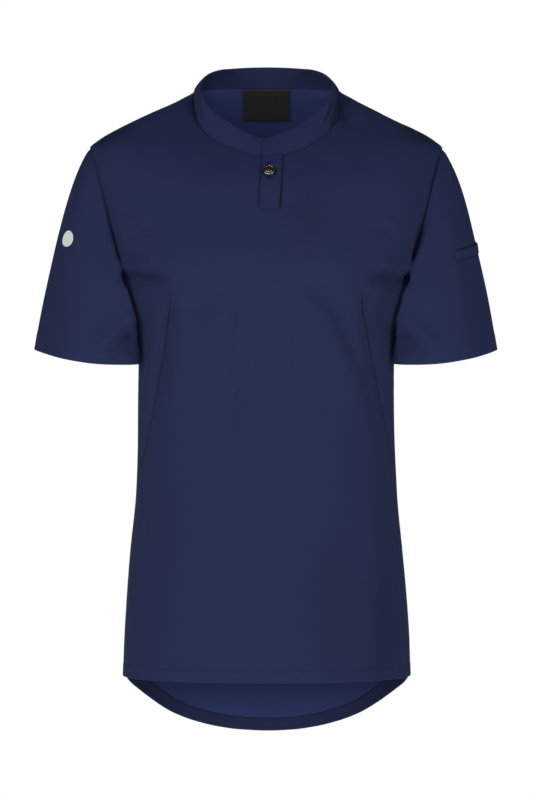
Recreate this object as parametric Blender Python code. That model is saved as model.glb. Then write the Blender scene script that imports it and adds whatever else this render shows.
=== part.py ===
"""Short-sleeve work shirt with a band collar, filled out as if worn, with nobody inside it.

Metres, +Z up, the front faces -Y and +X is the wearer's left. The origin is midway between the two
points where the shoulder seams meet the collar. Every piece of cloth is a thin closed wall: its
outer face follows one form of the garment, and its inner face is the same points moved in.
"""

import math
from collections import namedtuple

import bmesh
import bpy
import numpy as np

# ---------------------------------------------------------------- sizes

WALL = 0.0012  # cloth of the body and the sleeves
BAND_WALL = 0.0020  # collar band, two layers and an interlining
STRIP_WALL = 0.0010  # placket, facing, label, welt
SEAM_GAP = 0.0003  # between pieces that a seam joins
LAID_GAP = 0.0005  # between a piece and the panel that it lies on
ROUND = 2.3  # exponent of the body's cross section: 2 is an ellipse, more is squarer

UNDERARM_Z = -0.228
TIP_Z = -0.064  # where the shoulder seam meets the sleeve
FRONT_HEM_Z = -0.658
NECK_SIDE_Z = 0.001
NECK_FRONT_Z = -0.080
NECK_BACK_Z = 0.0100
TIP_ROW_BACK_Z = -0.075  # centre of the row of points that ends at the shoulder tips
ARMHOLE_SCOOP_FRONT = math.radians(23.5)
ARMHOLE_SCOOP_BACK = math.radians(21.0)
ARMHOLE_FLATNESS = 0.55  # below 1 the armhole is rounder at the underarm and the tip

ROW_CLIMB = math.radians(60)  # rows of points rise from the centre up to this angle, then run level
MITRE_LIMIT = 0.4  # keeps a wall from growing long where two faces meet at a sharp angle

FRONT, BACK = -1, 1
QUARTER = math.pi / 2

# the form of the body at each height: half its width, and how far it reaches to each side of y = 0
Level = namedtuple("Level", "z half_width front back")
LEVELS = (
    Level(-0.7450, 0.1640, 0.1130, 0.1170),
    Level(-0.6580, 0.1624, 0.1125, 0.1165),
    Level(-0.6190, 0.1610, 0.1118, 0.1150),
    Level(-0.5850, 0.1588, 0.1105, 0.1130),
    Level(-0.5170, 0.1537, 0.1080, 0.1070),
    Level(-0.4500, 0.1472, 0.1058, 0.1000),
    Level(-0.3820, 0.1446, 0.1055, 0.0978),
    Level(-0.3140, 0.1442, 0.1090, 0.1010),
    Level(-0.2800, 0.1460, 0.1125, 0.1055),
    Level(-0.2540, 0.1525, 0.1155, 0.1085),
    Level(-0.2350, 0.1590, 0.1172, 0.1100),
    Level(-0.2045, 0.1695, 0.1170, 0.1118),
    Level(-0.1640, 0.1810, 0.1095, 0.1105),
    Level(-0.1310, 0.1900, 0.1000, 0.1070),
    Level(-0.1100, 0.1945, 0.0918, 0.1035),
    Level(-0.0850, 0.1985, 0.0772, 0.0976),
    Level(-0.0640, 0.2000, 0.0610, 0.0915),
    Level(-0.0540, 0.1890, 0.0515, 0.0878),
    Level(-0.0430, 0.1693, 0.0415, 0.0834),
    Level(-0.0316, 0.1450, 0.0315, 0.0786),
    Level(-0.0200, 0.1205, 0.0215, 0.0730),
    Level(-0.0090, 0.0992, 0.0120, 0.0675),
    Level(0.0010, 0.0824, 0.0040, 0.0620),
    Level(0.0090, 0.0806, 0.0030, 0.0575),
)

# soft fullness that the cut gives: a mound on one side of the body, mirrored in x
Mound = namedtuple("Mound", "side x z radius height")
MOUNDS = (
    Mound(FRONT, 0.078, -0.200, 0.058, 0.0065),
    Mound(BACK, 0.080, -0.150, 0.070, 0.0040),
)

# the front neckline: how far it has risen from its centre to the shoulder, at angles round the body
Rise = namedtuple("Rise", "angle share")
NECK_RISES = (
    Rise(0, 0.000),
    Rise(15, 0.056),
    Rise(30, 0.162),
    Rise(45, 0.288),
    Rise(60, 0.452),
    Rise(75, 0.690),
    Rise(90, 1.000),
)

# the back hem: the curved tail
Tail = namedtuple("Tail", "x z")
TAIL = (
    Tail(0.0000, -0.7340),
    Tail(0.0300, -0.7326),
    Tail(0.0560, -0.7287),
    Tail(0.0840, -0.7210),
    Tail(0.1080, -0.7106),
    Tail(0.1240, -0.7002),
    Tail(0.1370, -0.6898),
    Tail(0.1485, -0.6792),
    Tail(0.1585, -0.6679),
    Tail(0.1630, -0.6580),
)

# the collar's top edge, at angles round the neck from the centre front to the centre back
Edge = namedtuple("Edge", "angle x y z")
COLLAR_TOP = (
    Edge(-12, -0.0135, -0.0612, -0.0632),
    Edge(0, 0.0000, -0.0607, -0.0572),
    Edge(15, 0.0150, -0.0593, -0.0522),
    Edge(30, 0.0315, -0.0550, -0.0446),
    Edge(44, 0.0480, -0.0480, -0.0340),
    Edge(57, 0.0620, -0.0400, -0.0230),
    Edge(68, 0.0710, -0.0320, -0.0100),
    Edge(80, 0.0748, -0.0190, 0.0025),
    Edge(93, 0.0718, -0.0040, 0.0145),
    Edge(103, 0.0662, 0.0090, 0.0213),
    Edge(118, 0.0550, 0.0260, 0.0277),
    Edge(138, 0.0398, 0.0390, 0.0308),
    Edge(160, 0.0200, 0.0470, 0.0328),
    Edge(180, 0.0000, 0.0500, 0.0334),
)
LAP_ANGLE = 3.5  # how far the upper end passes the centre front, in degrees round the neck
UNDERLAP_ANGLE = 10.5
UNDERLAP_FROM = 42.0  # where the lower end starts to sink behind the upper one
UNDERLAP_SUNK = 7.5  # where it has sunk all the way
COLLAR_GAP = 1.5 * SEAM_GAP  # between the collar's foot and the neckline

# the left sleeve, around from the underarm over the front: its hem, and how the cloth leaves the
# armhole and arrives at the hem
Station = namedtuple("Station", "around hem leave arrive")
SLEEVE = (
    Station(0.00, (0.149, 0.005, -0.306), (0.012, 0.000, -0.070), (-0.014, 0.003, -0.080)),
    Station(0.06, (0.1455, -0.021, -0.307), (-0.006, -0.034, -0.075), (-0.006, 0.004, -0.080)),
    Station(0.12, (0.1412, -0.042, -0.308), (-0.052, -0.098, -0.085), (0.002, 0.010, -0.078)),
    Station(0.19, (0.155, -0.054, -0.309), (-0.034, -0.078, -0.110), (0.000, 0.006, -0.110)),
    Station(0.28, (0.190, -0.055, -0.308), (0.030, -0.036, -0.130), (0.006, 0.002, -0.150)),
    Station(0.38, (0.2275, -0.043, -0.302), (0.070, -0.022, -0.120), (0.026, 0.000, -0.190)),
    Station(0.50, (0.2613, 0.004, -0.2915), (0.083, 0.000, -0.110), (0.038, 0.000, -0.220)),
    Station(0.61, (0.2506, 0.044, -0.292), (0.070, 0.022, -0.115), (0.030, 0.000, -0.195)),
    Station(0.72, (0.218, 0.064, -0.297), (0.040, 0.030, -0.125), (0.012, 0.000, -0.160)),
    Station(0.82, (0.180, 0.066, -0.302), (0.006, 0.030, -0.110), (-0.002, 0.000, -0.125)),
    Station(0.90, (0.151, 0.051, -0.305), (-0.012, 0.034, -0.085), (-0.006, -0.004, -0.095)),
    Station(0.95, (0.147, 0.030, -0.306), (-0.004, 0.018, -0.075), (-0.010, 0.000, -0.085)),
    Station(1.00, (0.149, 0.005, -0.306), (0.012, 0.000, -0.070), (-0.014, 0.003, -0.080)),
)

# the largest folds: the route is in (x, z) seen from the front, a depth below zero is a trough
Fold = namedtuple("Fold", "side width depth route")
BODY_FOLDS = (
    Fold(FRONT, 0.012, -0.0045, ((-0.105, -0.231), (-0.1135, -0.290), (-0.1245, -0.326),
                                 (-0.1356, -0.397), (-0.142, -0.437))),
    Fold(FRONT, 0.012, -0.0045, ((0.1057, -0.233), (0.1157, -0.282), (0.1223, -0.3115),
                                 (0.139, -0.392), (0.143, -0.430))),
    Fold(FRONT, 0.014, 0.0030, ((-0.085, -0.262), (-0.094, -0.310), (-0.108, -0.372))),
    Fold(FRONT, 0.014, 0.0030, ((0.078, -0.270), (0.096, -0.330), (0.112, -0.392))),
    Fold(FRONT, 0.010, -0.0030, ((-0.152, -0.206), (-0.130, -0.212), (-0.108, -0.210))),
    Fold(FRONT, 0.010, -0.0030, ((0.152, -0.206), (0.132, -0.212), (0.112, -0.211))),
    Fold(FRONT, 0.015, -0.0030, ((-0.088, -0.236), (-0.066, -0.238), (-0.044, -0.232))),
    Fold(FRONT, 0.015, -0.0030, ((0.042, -0.232), (0.072, -0.232), (0.086, -0.254), (0.094, -0.302))),
    Fold(FRONT, 0.016, -0.0030, ((-0.026, -0.211), (-0.027, -0.257), (-0.0334, -0.325),
                                 (-0.0454, -0.359), (-0.062, -0.412))),
    Fold(FRONT, 0.013, 0.0020, ((0.015, -0.200), (0.015, -0.245), (0.017, -0.285))),
    Fold(FRONT, 0.010, -0.0035, ((0.080, -0.022), (0.094, -0.034), (0.102, -0.052))),
    Fold(BACK, 0.014, -0.0045, ((-0.098, -0.245), (-0.112, -0.310), (-0.122, -0.400))),
    Fold(BACK, 0.014, -0.0045, ((0.100, -0.240), (0.110, -0.318), (0.124, -0.410))),
    Fold(BACK, 0.020, -0.0035, ((-0.040, -0.300), (-0.052, -0.372), (-0.050, -0.470))),
    Fold(BACK, 0.020, -0.0035, ((0.030, -0.320), (0.046, -0.395), (0.058, -0.490))),
    Fold(BACK, 0.012, -0.0030, ((0.150, -0.190), (0.118, -0.196), (0.090, -0.186))),
    Fold(BACK, 0.012, -0.0030, ((-0.150, -0.192), (-0.120, -0.200), (-0.086, -0.194))),
)
# the same on a sleeve: the route is in (share around, share down)
SLEEVE_FOLDS = (
    Fold(FRONT, 0.012, -0.0045, ((0.090, 0.58), (0.156, 0.70), (0.216, 0.90), (0.236, 1.00))),
    Fold(FRONT, 0.010, 0.0042, ((0.112, 0.42), (0.204, 0.67), (0.250, 0.82), (0.285, 0.93))),
    Fold(BACK, 0.012, -0.0045, ((0.900, 0.50), (0.820, 0.66), (0.720, 0.84))),
    Fold(BACK, 0.012, 0.0030, ((0.870, 0.30), (0.790, 0.48), (0.700, 0.60))),
)
FOLD_STEPS = 20  # straight pieces that a fold's route is cut into
FOLD_FADE = 0.25  # share of a fold's length over which each end grows shallow
FOLD_END = 0.15  # share of its depth that is left at the ends

# the placket, at the wearer's centre front, and its button
PLACKET_LEFT_X = -0.0064
PLACKET_RIGHT_X = 0.0158
PLACKET_BOTTOM_Z = -0.1385
PLACKET_LEAN = 0.0017  # its top end is this far to the wearer's left, its lower end as far to the right
PLACKET_COLUMNS, PLACKET_ROWS = 6, 8
UNDER_STRIP_SHORT = 0.8  # the strip behind ends this share of its last cell below the collar
NOTCH_INSET = 0.0020  # the front is cut away this far inside the placket's edges
NOTCH_SIDES = (PLACKET_LEFT_X + NOTCH_INSET, PLACKET_RIGHT_X - NOTCH_INSET)
TIP_ROW_FRONT_Z = PLACKET_BOTTOM_Z + NOTCH_INSET
BUTTON_X = 0.0027
BUTTON_Z = -0.0965
BUTTON_RADIUS = 0.0062
BUTTON_LIFT = 0.0006  # shank between the placket and the button
RECESS_RADIUS = 0.0048
RECESS_FLOOR = 0.0010  # above the button's underside
RIM_TOP = 0.0022
DOME_EDGE, DOME_TOP = 0.0020, 0.0032
DOME_STEPS = 4
BUTTON_SEGMENTS = 24

LABEL_HALF_WIDTH = 0.026
LABEL_BOTTOM_Z = -0.0253
LABEL_TOP_Z = NECK_BACK_Z - 0.0022  # just under the collar seam
LABEL_COLUMNS, LABEL_ROWS = 6, 5
FACING_RISE, FACING_WIDTH = 0.0007, 0.015  # its lower and upper edge, above the hem
BADGE_PLACE = (0.2224, -0.1677)  # seen from the front, x taken as positive
BADGE_RADIUS = 0.00925
BADGE_WALL = 0.0010
BADGE_DISH = 0.0003  # how far its middle lies below its rim
BADGE_SEGMENTS = 28
WELT_START = (0.2094, -0.1885)  # middle of the pen pocket's welt, seen from the front
WELT_END_AROUND = 0.565
WELT_CLIMB = 0.016  # how much higher its far end is
WELT_HALF_HEIGHT = 0.0060
WELT_GAP = 0.0012  # the sleeve's flat cells stand this proud of its round form at most

# how finely the walls are cut up
SIDE_COLUMNS, NOTCH_COLUMNS = 13, 2
BODY_ROWS, ARMHOLE_ROWS, SHOULDER_ROWS = 15, 12, 5
SLEEVE_COLUMNS, SLEEVE_ROWS = 2 * ARMHOLE_ROWS, 9
COLLAR_ROWS = 2

NAVY = (0.0232, 0.0300, 0.0802)
NAVY_INSIDE = (0.0160, 0.0220, 0.0600)
BRONZE = (0.2300, 0.1300, 0.0600)
DARK_BROWN = (0.0200, 0.0110, 0.0070)
LABEL_BLACK = (0.0110, 0.0120, 0.0100)
BADGE_WHITE = (0.8000, 0.8000, 0.8000)


# ---------------------------------------------------------------- curves through the tables

def cubic(places, values, at, rounded=False):
    """A smooth curve through a table, read at `at`; unless rounded it never overshoots."""
    x = np.asarray(places, float)
    y = np.asarray(values, float)
    y = y.reshape(len(x), -1)
    at = np.asarray(at, float)
    step = np.diff(x)[:, None]
    secant = np.diff(y, axis=0) / step
    before, after = secant[:-1], secant[1:]
    if rounded:
        middle = (before * step[1:] + after * step[:-1]) / (step[:-1] + step[1:])
    else:
        near, far = 2 * step[1:] + step[:-1], step[1:] + 2 * step[:-1]
        same = before * after > 0
        with np.errstate(divide="ignore", invalid="ignore"):
            mean = (near + far) / (near / before + far / after)
        middle = np.where(same, mean, 0.0)
    slope = np.concatenate([secant[:1], middle, secant[-1:]])
    flat = at.reshape(-1)
    i = np.clip(np.searchsorted(x, flat) - 1, 0, len(x) - 2)
    t = ((flat - x[i]) / step[i, 0])[:, None]
    h = step[i]
    out = ((1 + 2 * t) * (1 - t) ** 2 * y[i] + t * (1 - t) ** 2 * h * slope[i]
           + t * t * (3 - 2 * t) * y[i + 1] + t * t * (t - 1) * h * slope[i + 1])
    return out[:, 0].reshape(at.shape) if y.shape[1] == 1 else out.reshape(at.shape + (y.shape[1],))


def column(table, name):
    return [getattr(row, name) for row in table]


def unit(vectors):
    length = np.linalg.norm(vectors, axis=-1, keepdims=True)
    return vectors / np.maximum(length, 1e-12)


def arc(angle):
    """Across and deep shares of the body's rounded cross section; angle 0 is its centre line."""
    sine, cosine = np.sin(angle), np.cos(angle)
    size = (np.abs(sine) ** ROUND + np.abs(cosine) ** ROUND) ** (1 / ROUND)
    return sine / size, cosine / size


# ---------------------------------------------------------------- the form of the body

def levels(z):
    sizes = [(row.half_width, row.front, row.back) for row in LEVELS]
    return cubic(column(LEVELS, "z"), sizes, z)


def half_width(z):
    return levels(z)[..., 0]


def body_form(x, z, side):
    """Points and outward normals of the body's form, seen from the front at (x, z)."""
    x, z = np.broadcast_arrays(np.asarray(x, float), np.asarray(z, float))
    reach = 1 if side == FRONT else 2
    size = levels(z)
    step = 0.0005
    slope = (levels(z + step) - levels(z - step)) / (2 * step)
    width, depth = size[..., 0], size[..., reach]
    across = np.clip(np.abs(x) / width, 0.0, 1.0)
    deep = (1 - across**ROUND) ** (1 / ROUND)
    points = np.stack([x, side * depth * deep, z], -1)
    normals = np.stack([
        np.sign(x) * across ** (ROUND - 1) / width,
        side * deep ** (ROUND - 1) / depth,
        -(across**ROUND * slope[..., 0] / width + deep**ROUND * slope[..., reach] / depth),
    ], -1)
    for mound in MOUNDS:
        if mound.side == side:
            away = (np.abs(x) - mound.x) ** 2 + (z - mound.z) ** 2
            points[..., 1] += side * mound.height * np.exp(-away / mound.radius**2)
    return points, unit(normals)


def neck_z(angle, side):
    if side == FRONT:
        share = cubic(column(NECK_RISES, "angle"), column(NECK_RISES, "share"), np.degrees(np.abs(angle)))
        return NECK_FRONT_Z + (NECK_SIDE_Z - NECK_FRONT_Z) * share
    return NECK_BACK_Z + (NECK_SIDE_Z - NECK_BACK_Z) * (1 - arc(angle)[1])


def neck_form(angle):
    """The neckline at an angle round the neck: 0 is the centre front, pi the centre back."""
    side = FRONT if abs(angle) <= QUARTER else BACK
    turned = angle if side == FRONT else math.copysign(math.pi, angle) - angle
    x = half_width(NECK_SIDE_Z) * arc(turned)[0]
    return body_form(x, neck_z(turned, side), side)


def armhole(lift, side):
    """Angle and height of the armhole, from the underarm (lift 0) to the shoulder tip (lift 1)."""
    turn = math.pi * np.asarray(lift, float)
    scoop = ARMHOLE_SCOOP_FRONT if side == FRONT else ARMHOLE_SCOOP_BACK
    angle = QUARTER - scoop * np.abs(np.sin(turn)) ** ARMHOLE_FLATNESS
    return angle, UNDERARM_Z + (TIP_Z - UNDERARM_Z) * (1 - np.cos(turn)) / 2


def armhole_form(lift, side):
    """The same on the wearer's left, as points and normals of the body's form."""
    angle, z = armhole(lift, side)
    return body_form(half_width(z) * arc(angle)[0], z, side)


def tail_z(x):
    across, z = np.array(column(TAIL, "x")), np.array(column(TAIL, "z"))
    return cubic(np.concatenate([-across[:0:-1], across]), np.concatenate([z[:0:-1], z]), x)


def climb(angle):
    """How far a row of points has risen from the centre line to its level outer stretch."""
    share = np.clip(np.abs(angle) / ROW_CLIMB, 0, 1)
    return share**3 * (10 - 15 * share + 6 * share * share)


def row_angles(edge, width):
    """Angles of a row's points; two columns of points follow the sides of the placket's notch."""
    across = np.array(NOTCH_SIDES) / width
    left, right = np.arctan2(across, (1 - np.abs(across) ** ROUND) ** (1 / ROUND))
    return np.concatenate([
        np.linspace(-edge, left, SIDE_COLUMNS + 1),
        np.linspace(left, right, NOTCH_COLUMNS + 1)[1:-1],
        np.linspace(right, edge, SIDE_COLUMNS + 1),
    ])


def panel_form(side):
    """Rows of points from the hem to the neckline, with their outward normals."""
    tip_row = TIP_ROW_FRONT_Z if side == FRONT else TIP_ROW_BACK_Z
    neck_row = NECK_FRONT_Z if side == FRONT else NECK_BACK_Z
    xs, zs = [], []
    for lift in np.linspace(0, 1, BODY_ROWS + 1):
        share = arc(row_angles(QUARTER, half_width(FRONT_HEM_Z + (UNDERARM_Z - FRONT_HEM_Z) * lift)))[0]
        hem = FRONT_HEM_Z + 0 * share if side == FRONT else tail_z(share * TAIL[-1].x)
        z = hem + (UNDERARM_Z - hem) * lift
        xs.append(half_width(z) * share)
        zs.append(z)
    for lift in np.linspace(0, 1, ARMHOLE_ROWS + 1)[1:]:
        edge, edge_z = armhole(lift, side)
        centre_z = UNDERARM_Z + (tip_row - UNDERARM_Z) * lift
        angles = row_angles(edge, half_width(edge_z))
        xs.append(half_width(edge_z) * arc(angles)[0])
        zs.append(centre_z + (edge_z - centre_z) * climb(angles))
    for lift in np.linspace(0, 1, SHOULDER_ROWS + 1)[1:]:
        edge_z = TIP_Z + (NECK_SIDE_Z - TIP_Z) * lift
        centre_z = tip_row + (neck_row - tip_row) * lift
        angles = row_angles(QUARTER, half_width(edge_z))
        rise = (neck_z(angles, side) - neck_row) / (NECK_SIDE_Z - neck_row)
        rise = (1 - lift) * climb(angles) + lift * rise
        xs.append(half_width(edge_z) * arc(angles)[0])
        zs.append(centre_z + (edge_z - centre_z) * rise)
    return body_form(np.array(xs), np.array(zs), side)


# ---------------------------------------------------------------- the form of the sleeves

def sleeve_form(around, down):
    """The left sleeve at shares around (0 underarm, 0.5 shoulder tip) and down (0 armhole, 1 hem)."""
    around, down = np.broadcast_arrays(np.asarray(around, float), np.asarray(down, float))
    lift = 1 - np.abs(2 * around - 1)
    front, _ = armhole_form(lift, FRONT)
    back, _ = armhole_form(lift, BACK)
    start = np.where((around <= 0.5)[..., None], front, back)
    turn = column(SLEEVE, "around")
    hem, leave, arrive = (cubic(turn, column(SLEEVE, name), around, rounded=True)
                          for name in ("hem", "leave", "arrive"))
    t = down[..., None]
    return ((1 + 2 * t) * (1 - t) ** 2 * start + t * (1 - t) ** 2 * leave
            + t * t * (3 - 2 * t) * hem + t * t * (t - 1) * arrive)


def sleeve_normal(around, down):
    """Outward normals of the sleeve's form, by small steps in both shares."""
    step = 0.004
    ahead = sleeve_form((around + step) % 1.0, down) - sleeve_form((around - step) % 1.0, down)
    lower = sleeve_form(around, down + step) - sleeve_form(around, down - step)
    return unit(np.cross(lower, ahead))


def sleeve_place(x, z):
    """Shares around and down of the point of the sleeve's front that is seen at (x, z)."""
    around, down = np.meshgrid(np.linspace(0.12, 0.50, 96), np.linspace(0.05, 1.0, 120))
    points = sleeve_form(around, down)
    near = np.argmin((points[..., 0] - x) ** 2 + (points[..., 2] - z) ** 2)
    return around.flat[near], down.flat[near]


def sleeve_down(around, z):
    """The share down at which the sleeve reaches a height, for each share around."""
    down = np.linspace(0.05, 1, 160)
    return np.array([np.interp(-height, -sleeve_form(turn, down)[:, 2], down) for turn, height in zip(around, z)])


def armhole_seam(around):
    """Where body and sleeve meet: points, shared normals, the way to the sleeve, the body's normals."""
    lift = 1 - np.abs(2 * around - 1)
    front, front_normal = armhole_form(lift, FRONT)
    back, back_normal = armhole_form(lift, BACK)
    is_front = (around <= 0.5)[..., None]
    body_normal = np.where(is_front, front_normal, back_normal)
    points = np.where(is_front, front, back)
    both = body_normal + sleeve_normal(around, np.full(around.shape, 0.03))
    step = 0.004
    along = unit(sleeve_form((around + step) % 1.0, 0 * around) - sleeve_form((around - step) % 1.0, 0 * around))
    normal = unit(both - along * np.sum(both * along, -1, keepdims=True))
    return points, normal, unit(np.cross(along, normal)), body_normal


# ---------------------------------------------------------------- folds

def route_points(fold, on):
    """A fold's route as points on the form, evenly along it."""
    route = np.array(fold.route)
    turn = np.linspace(0, 1, len(route))
    fine = cubic(turn, route, np.linspace(0, 1, FOLD_STEPS + 1), rounded=True)
    return on(fine[:, 0], fine[:, 1])


def relief(points, folds, on):
    """How far the folds move each point out, with soft ends and a soft section across."""
    flat = points.reshape(-1, 3)
    total = np.zeros(len(flat))
    for fold in folds:
        route = route_points(fold, on(fold))
        start, run = route[:-1], np.diff(route, axis=0)
        offset = flat[:, None, :] - start[None]
        along = np.clip(np.sum(offset * run, -1) / np.sum(run * run, -1), 0, 1)
        away = np.linalg.norm(offset - along[..., None] * run, axis=-1)
        near = np.argmin(away, axis=1)
        pick = np.arange(len(flat))
        place = (near + along[pick, near]) / FOLD_STEPS
        ends = np.clip(np.minimum(place, 1 - place) / FOLD_FADE, 0, 1)
        soft = FOLD_END + (1 - FOLD_END) * ends * ends * (3 - 2 * ends)
        total += fold.depth * soft * np.exp(-((away[pick, near] / fold.width) ** 2))
    return total.reshape(points.shape[:-1])


def on_body(fold):
    return lambda x, z: body_form(x, z, fold.side)[0]


def on_sleeve(fold):
    return lambda around, down: sleeve_form(around, down)


# ---------------------------------------------------------------- making meshes

def material(name, colour, roughness, metallic=0.0):
    made = bpy.data.materials.new(name)
    made.use_nodes = True
    shader = made.node_tree.nodes["Principled BSDF"]
    shader.inputs["Base Color"].default_value = (*colour, 1.0)
    shader.inputs["Roughness"].default_value = roughness
    shader.inputs["Metallic"].default_value = metallic
    return made


def add_object(name, vertices, faces, finish):
    mesh = bpy.data.meshes.new(name)
    mesh.from_pydata([tuple(v) for v in vertices], [], faces)
    work = bmesh.new()
    work.from_mesh(mesh)
    bmesh.ops.recalc_face_normals(work, faces=work.faces)
    if work.calc_volume(signed=True) < 0:
        bmesh.ops.reverse_faces(work, faces=work.faces)
    work.to_mesh(mesh)
    work.free()
    mesh.materials.append(finish)
    mesh.shade_smooth()
    mesh.set_sharp_from_angle(angle=math.radians(40))
    made = bpy.data.objects.new(name, mesh)
    bpy.context.scene.collection.objects.link(made)
    return made


def wall(name, outer, inner, finish, left_out=()):
    """A closed wall between two grids of points, rimmed; left_out names cells (row, column) cut away."""
    rows, columns = outer.shape[:2]
    count = rows * columns
    cells = [(r * columns + c, r * columns + c + 1, (r + 1) * columns + c + 1, (r + 1) * columns + c)
             for r in range(rows - 1) for c in range(columns - 1) if (r, c) not in left_out]
    sides = [(cell[k], cell[(k + 1) % 4]) for cell in cells for k in range(4)]
    known = set(sides)
    faces = [list(cell) for cell in cells]
    faces += [[i + count for i in reversed(cell)] for cell in cells]
    faces += [[b, a, a + count, b + count] for a, b in sides if (b, a) not in known]
    used = sorted({i for face in faces for i in face})
    place = {i: k for k, i in enumerate(used)}
    points = np.concatenate([outer.reshape(-1, 3), inner.reshape(-1, 3)])
    return add_object(name, points[used], [[place[i] for i in face] for face in faces], finish)


def mirrored(points):
    return points * np.array([-1.0, 1.0, 1.0])


def grid_normals(points):
    """Outward normals of a grid of points, by differences between neighbours."""
    return unit(np.cross(np.gradient(points, axis=1), np.gradient(points, axis=0)))


# ---------------------------------------------------------------- the pieces

def make_panel(name, side, finish):
    """Front or back: cut at the side seams, armholes, shoulder seams and neckline."""
    points, normals = panel_form(side)
    moved = points + normals * relief(points, BODY_FOLDS_OF[side], on_body)[..., None]
    normals[-1] = -side * grid_normals(moved[-3:])[-1]
    normals[-1, (0, -1)] = unit(normals[-1, (0, -1)] * (1, 0, 1))
    inward = normals * WALL
    half = SEAM_GAP / 2
    armhole_rows = range(BODY_ROWS, BODY_ROWS + ARMHOLE_ROWS + 1)
    for r in range(len(points)):
        for c, sign in ((0, -1), (-1, 1)):
            if r not in armhole_rows:
                moved[r, c] = points[r, c] + (0, side * half, 0)
                continue
            lift = (r - BODY_ROWS) / ARMHOLE_ROWS
            around = lift / 2 if side == FRONT else 1 - lift / 2
            seam, normal, across, own = (v[0] for v in armhole_seam(np.array([around])))
            flip = np.array([sign, 1.0, 1.0])
            mitre = 1 / max(MITRE_LIMIT, float(np.dot(normal, own)))
            moved[r, c] = (seam - across * half) * flip + (0, side * half * (lift in (0, 1)), 0)
            inward[r, c] = normal * flip * WALL * mitre
    notch = ()
    if side == FRONT:
        notch_rows = range(BODY_ROWS + ARMHOLE_ROWS, len(points) - 1)
        notch = {(r, SIDE_COLUMNS + c) for r in notch_rows for c in range(NOTCH_COLUMNS)}
    wall(name, moved, moved - inward, finish, notch)
    return moved


def make_sleeve(name, mirror, finish):
    """One set-in sleeve, a sheet whose two edges meet at the underarm seam."""
    turn = np.linspace(0, 1, SLEEVE_COLUMNS + 1)
    around, down = np.meshgrid(turn, np.linspace(0, 1, SLEEVE_ROWS + 1))
    points = sleeve_form(around, down)
    normals = sleeve_normal(around, down)
    seam, seam_normal, across, _ = armhole_seam(turn)
    mitre = 1 / np.maximum(MITRE_LIMIT, np.sum(seam_normal * normals[1], -1, keepdims=True))
    moved = points + normals * relief(points, SLEEVE_FOLDS, on_sleeve)[..., None]
    moved[0] = seam + across * SEAM_GAP / 2
    inward = normals * WALL
    inward[0] = seam_normal * WALL * mitre
    shift = unit(sleeve_form(0.004, down[:, 0]) - sleeve_form(0.996, down[:, 0])) * SEAM_GAP / 2
    moved[:, 0] += shift
    moved[:, -1] -= shift
    inner = moved - inward
    if mirror:
        moved, inner = mirrored(moved), mirrored(inner)
    return wall(name, moved, inner, finish)


def collar_edge(angle):
    """Foot and top of the collar band at an angle round the neck, in degrees, below 0 past the lap."""
    foot, normal = neck_form(math.radians(angle))
    top = cubic(column(COLLAR_TOP, "angle"), [row[1:] for row in COLLAR_TOP], [angle], rounded=True)[0]
    return foot, top, normal


def collar_turns():
    """Places round the neck, in degrees, that match the points of the front's and back's necklines."""
    half = np.degrees(row_angles(QUARTER, half_width(NECK_SIDE_Z)))
    first = half[half > -LAP_ANGLE + 1]
    last = 360 + half[half < UNDERLAP_ANGLE - 1]
    return np.concatenate([[-LAP_ANGLE], first, 180 - half[-2::-1], last[1:], [360 + UNDERLAP_ANGLE]])


def make_collar(finish):
    """The band, from its upper end round the left side and the back to the end beneath."""
    feet, tops = [], []
    for turned in collar_turns():
        right = turned > 180
        angle = 360 - turned if right else turned
        foot, top, normal = collar_edge(angle)
        sink = 0.0
        if right:
            share = np.clip((UNDERLAP_FROM - angle) / (UNDERLAP_FROM - UNDERLAP_SUNK), 0, 1)
            sink = share * share * (3 - 2 * share) * (BAND_WALL + 2 * SEAM_GAP)
            foot, top, normal = mirrored(foot), mirrored(top), mirrored(normal)
        feet.append(foot - normal * sink)
        tops.append(top - normal * sink)
    feet, tops = np.array(feet), np.array(tops)
    feet += unit(tops - feet) * COLLAR_GAP
    grid = np.array([feet + (tops - feet) * share for share in np.linspace(0, 1, COLLAR_ROWS + 1)])
    normals = grid_normals(grid)
    return wall("collar_band", grid, grid - normals * BAND_WALL, finish)


def placket_grid():
    """The placket's strip on the front, from its stitched end up to the collar."""
    share = np.linspace(0, 1, PLACKET_ROWS + 1)[:, None]
    xs = np.linspace(PLACKET_LEFT_X, PLACKET_RIGHT_X, PLACKET_COLUMNS + 1) + PLACKET_LEAN * (2 * share - 1)
    neck_x = half_width(NECK_SIDE_Z) * arc(np.radians(np.arange(-30, 31)))[0]
    top = np.interp(xs, neck_x, neck_z(np.radians(np.arange(-30, 31)), FRONT)) - 2 * SEAM_GAP
    return body_form(xs, PLACKET_BOTTOM_Z + (top - PLACKET_BOTTOM_Z) * share, FRONT)


def make_placket(name, inside, finish):
    points, normals = placket_grid()
    if inside:
        outer = points - normals * (WALL + LAID_GAP)
        outer[-1] = outer[-2] + (outer[-1] - outer[-2]) * UNDER_STRIP_SHORT
    else:
        outer = points + normals * (LAID_GAP + STRIP_WALL)
    return wall(name, outer, outer - normals * STRIP_WALL, finish)


def ring_faces(rings, segments):
    """Faces that join a first point, rings of points and a last point."""
    last = rings * segments + 1
    faces = []
    for k in range(segments):
        n = (k + 1) % segments
        faces.append([0, 1 + k, 1 + n])
        for ring in range(rings - 1):
            a, b = 1 + ring * segments, 1 + (ring + 1) * segments
            faces.append([a + k, b + k, b + n, a + n])
        end = 1 + (rings - 1) * segments
        faces.append([last, end + n, end + k])
    return faces


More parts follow.
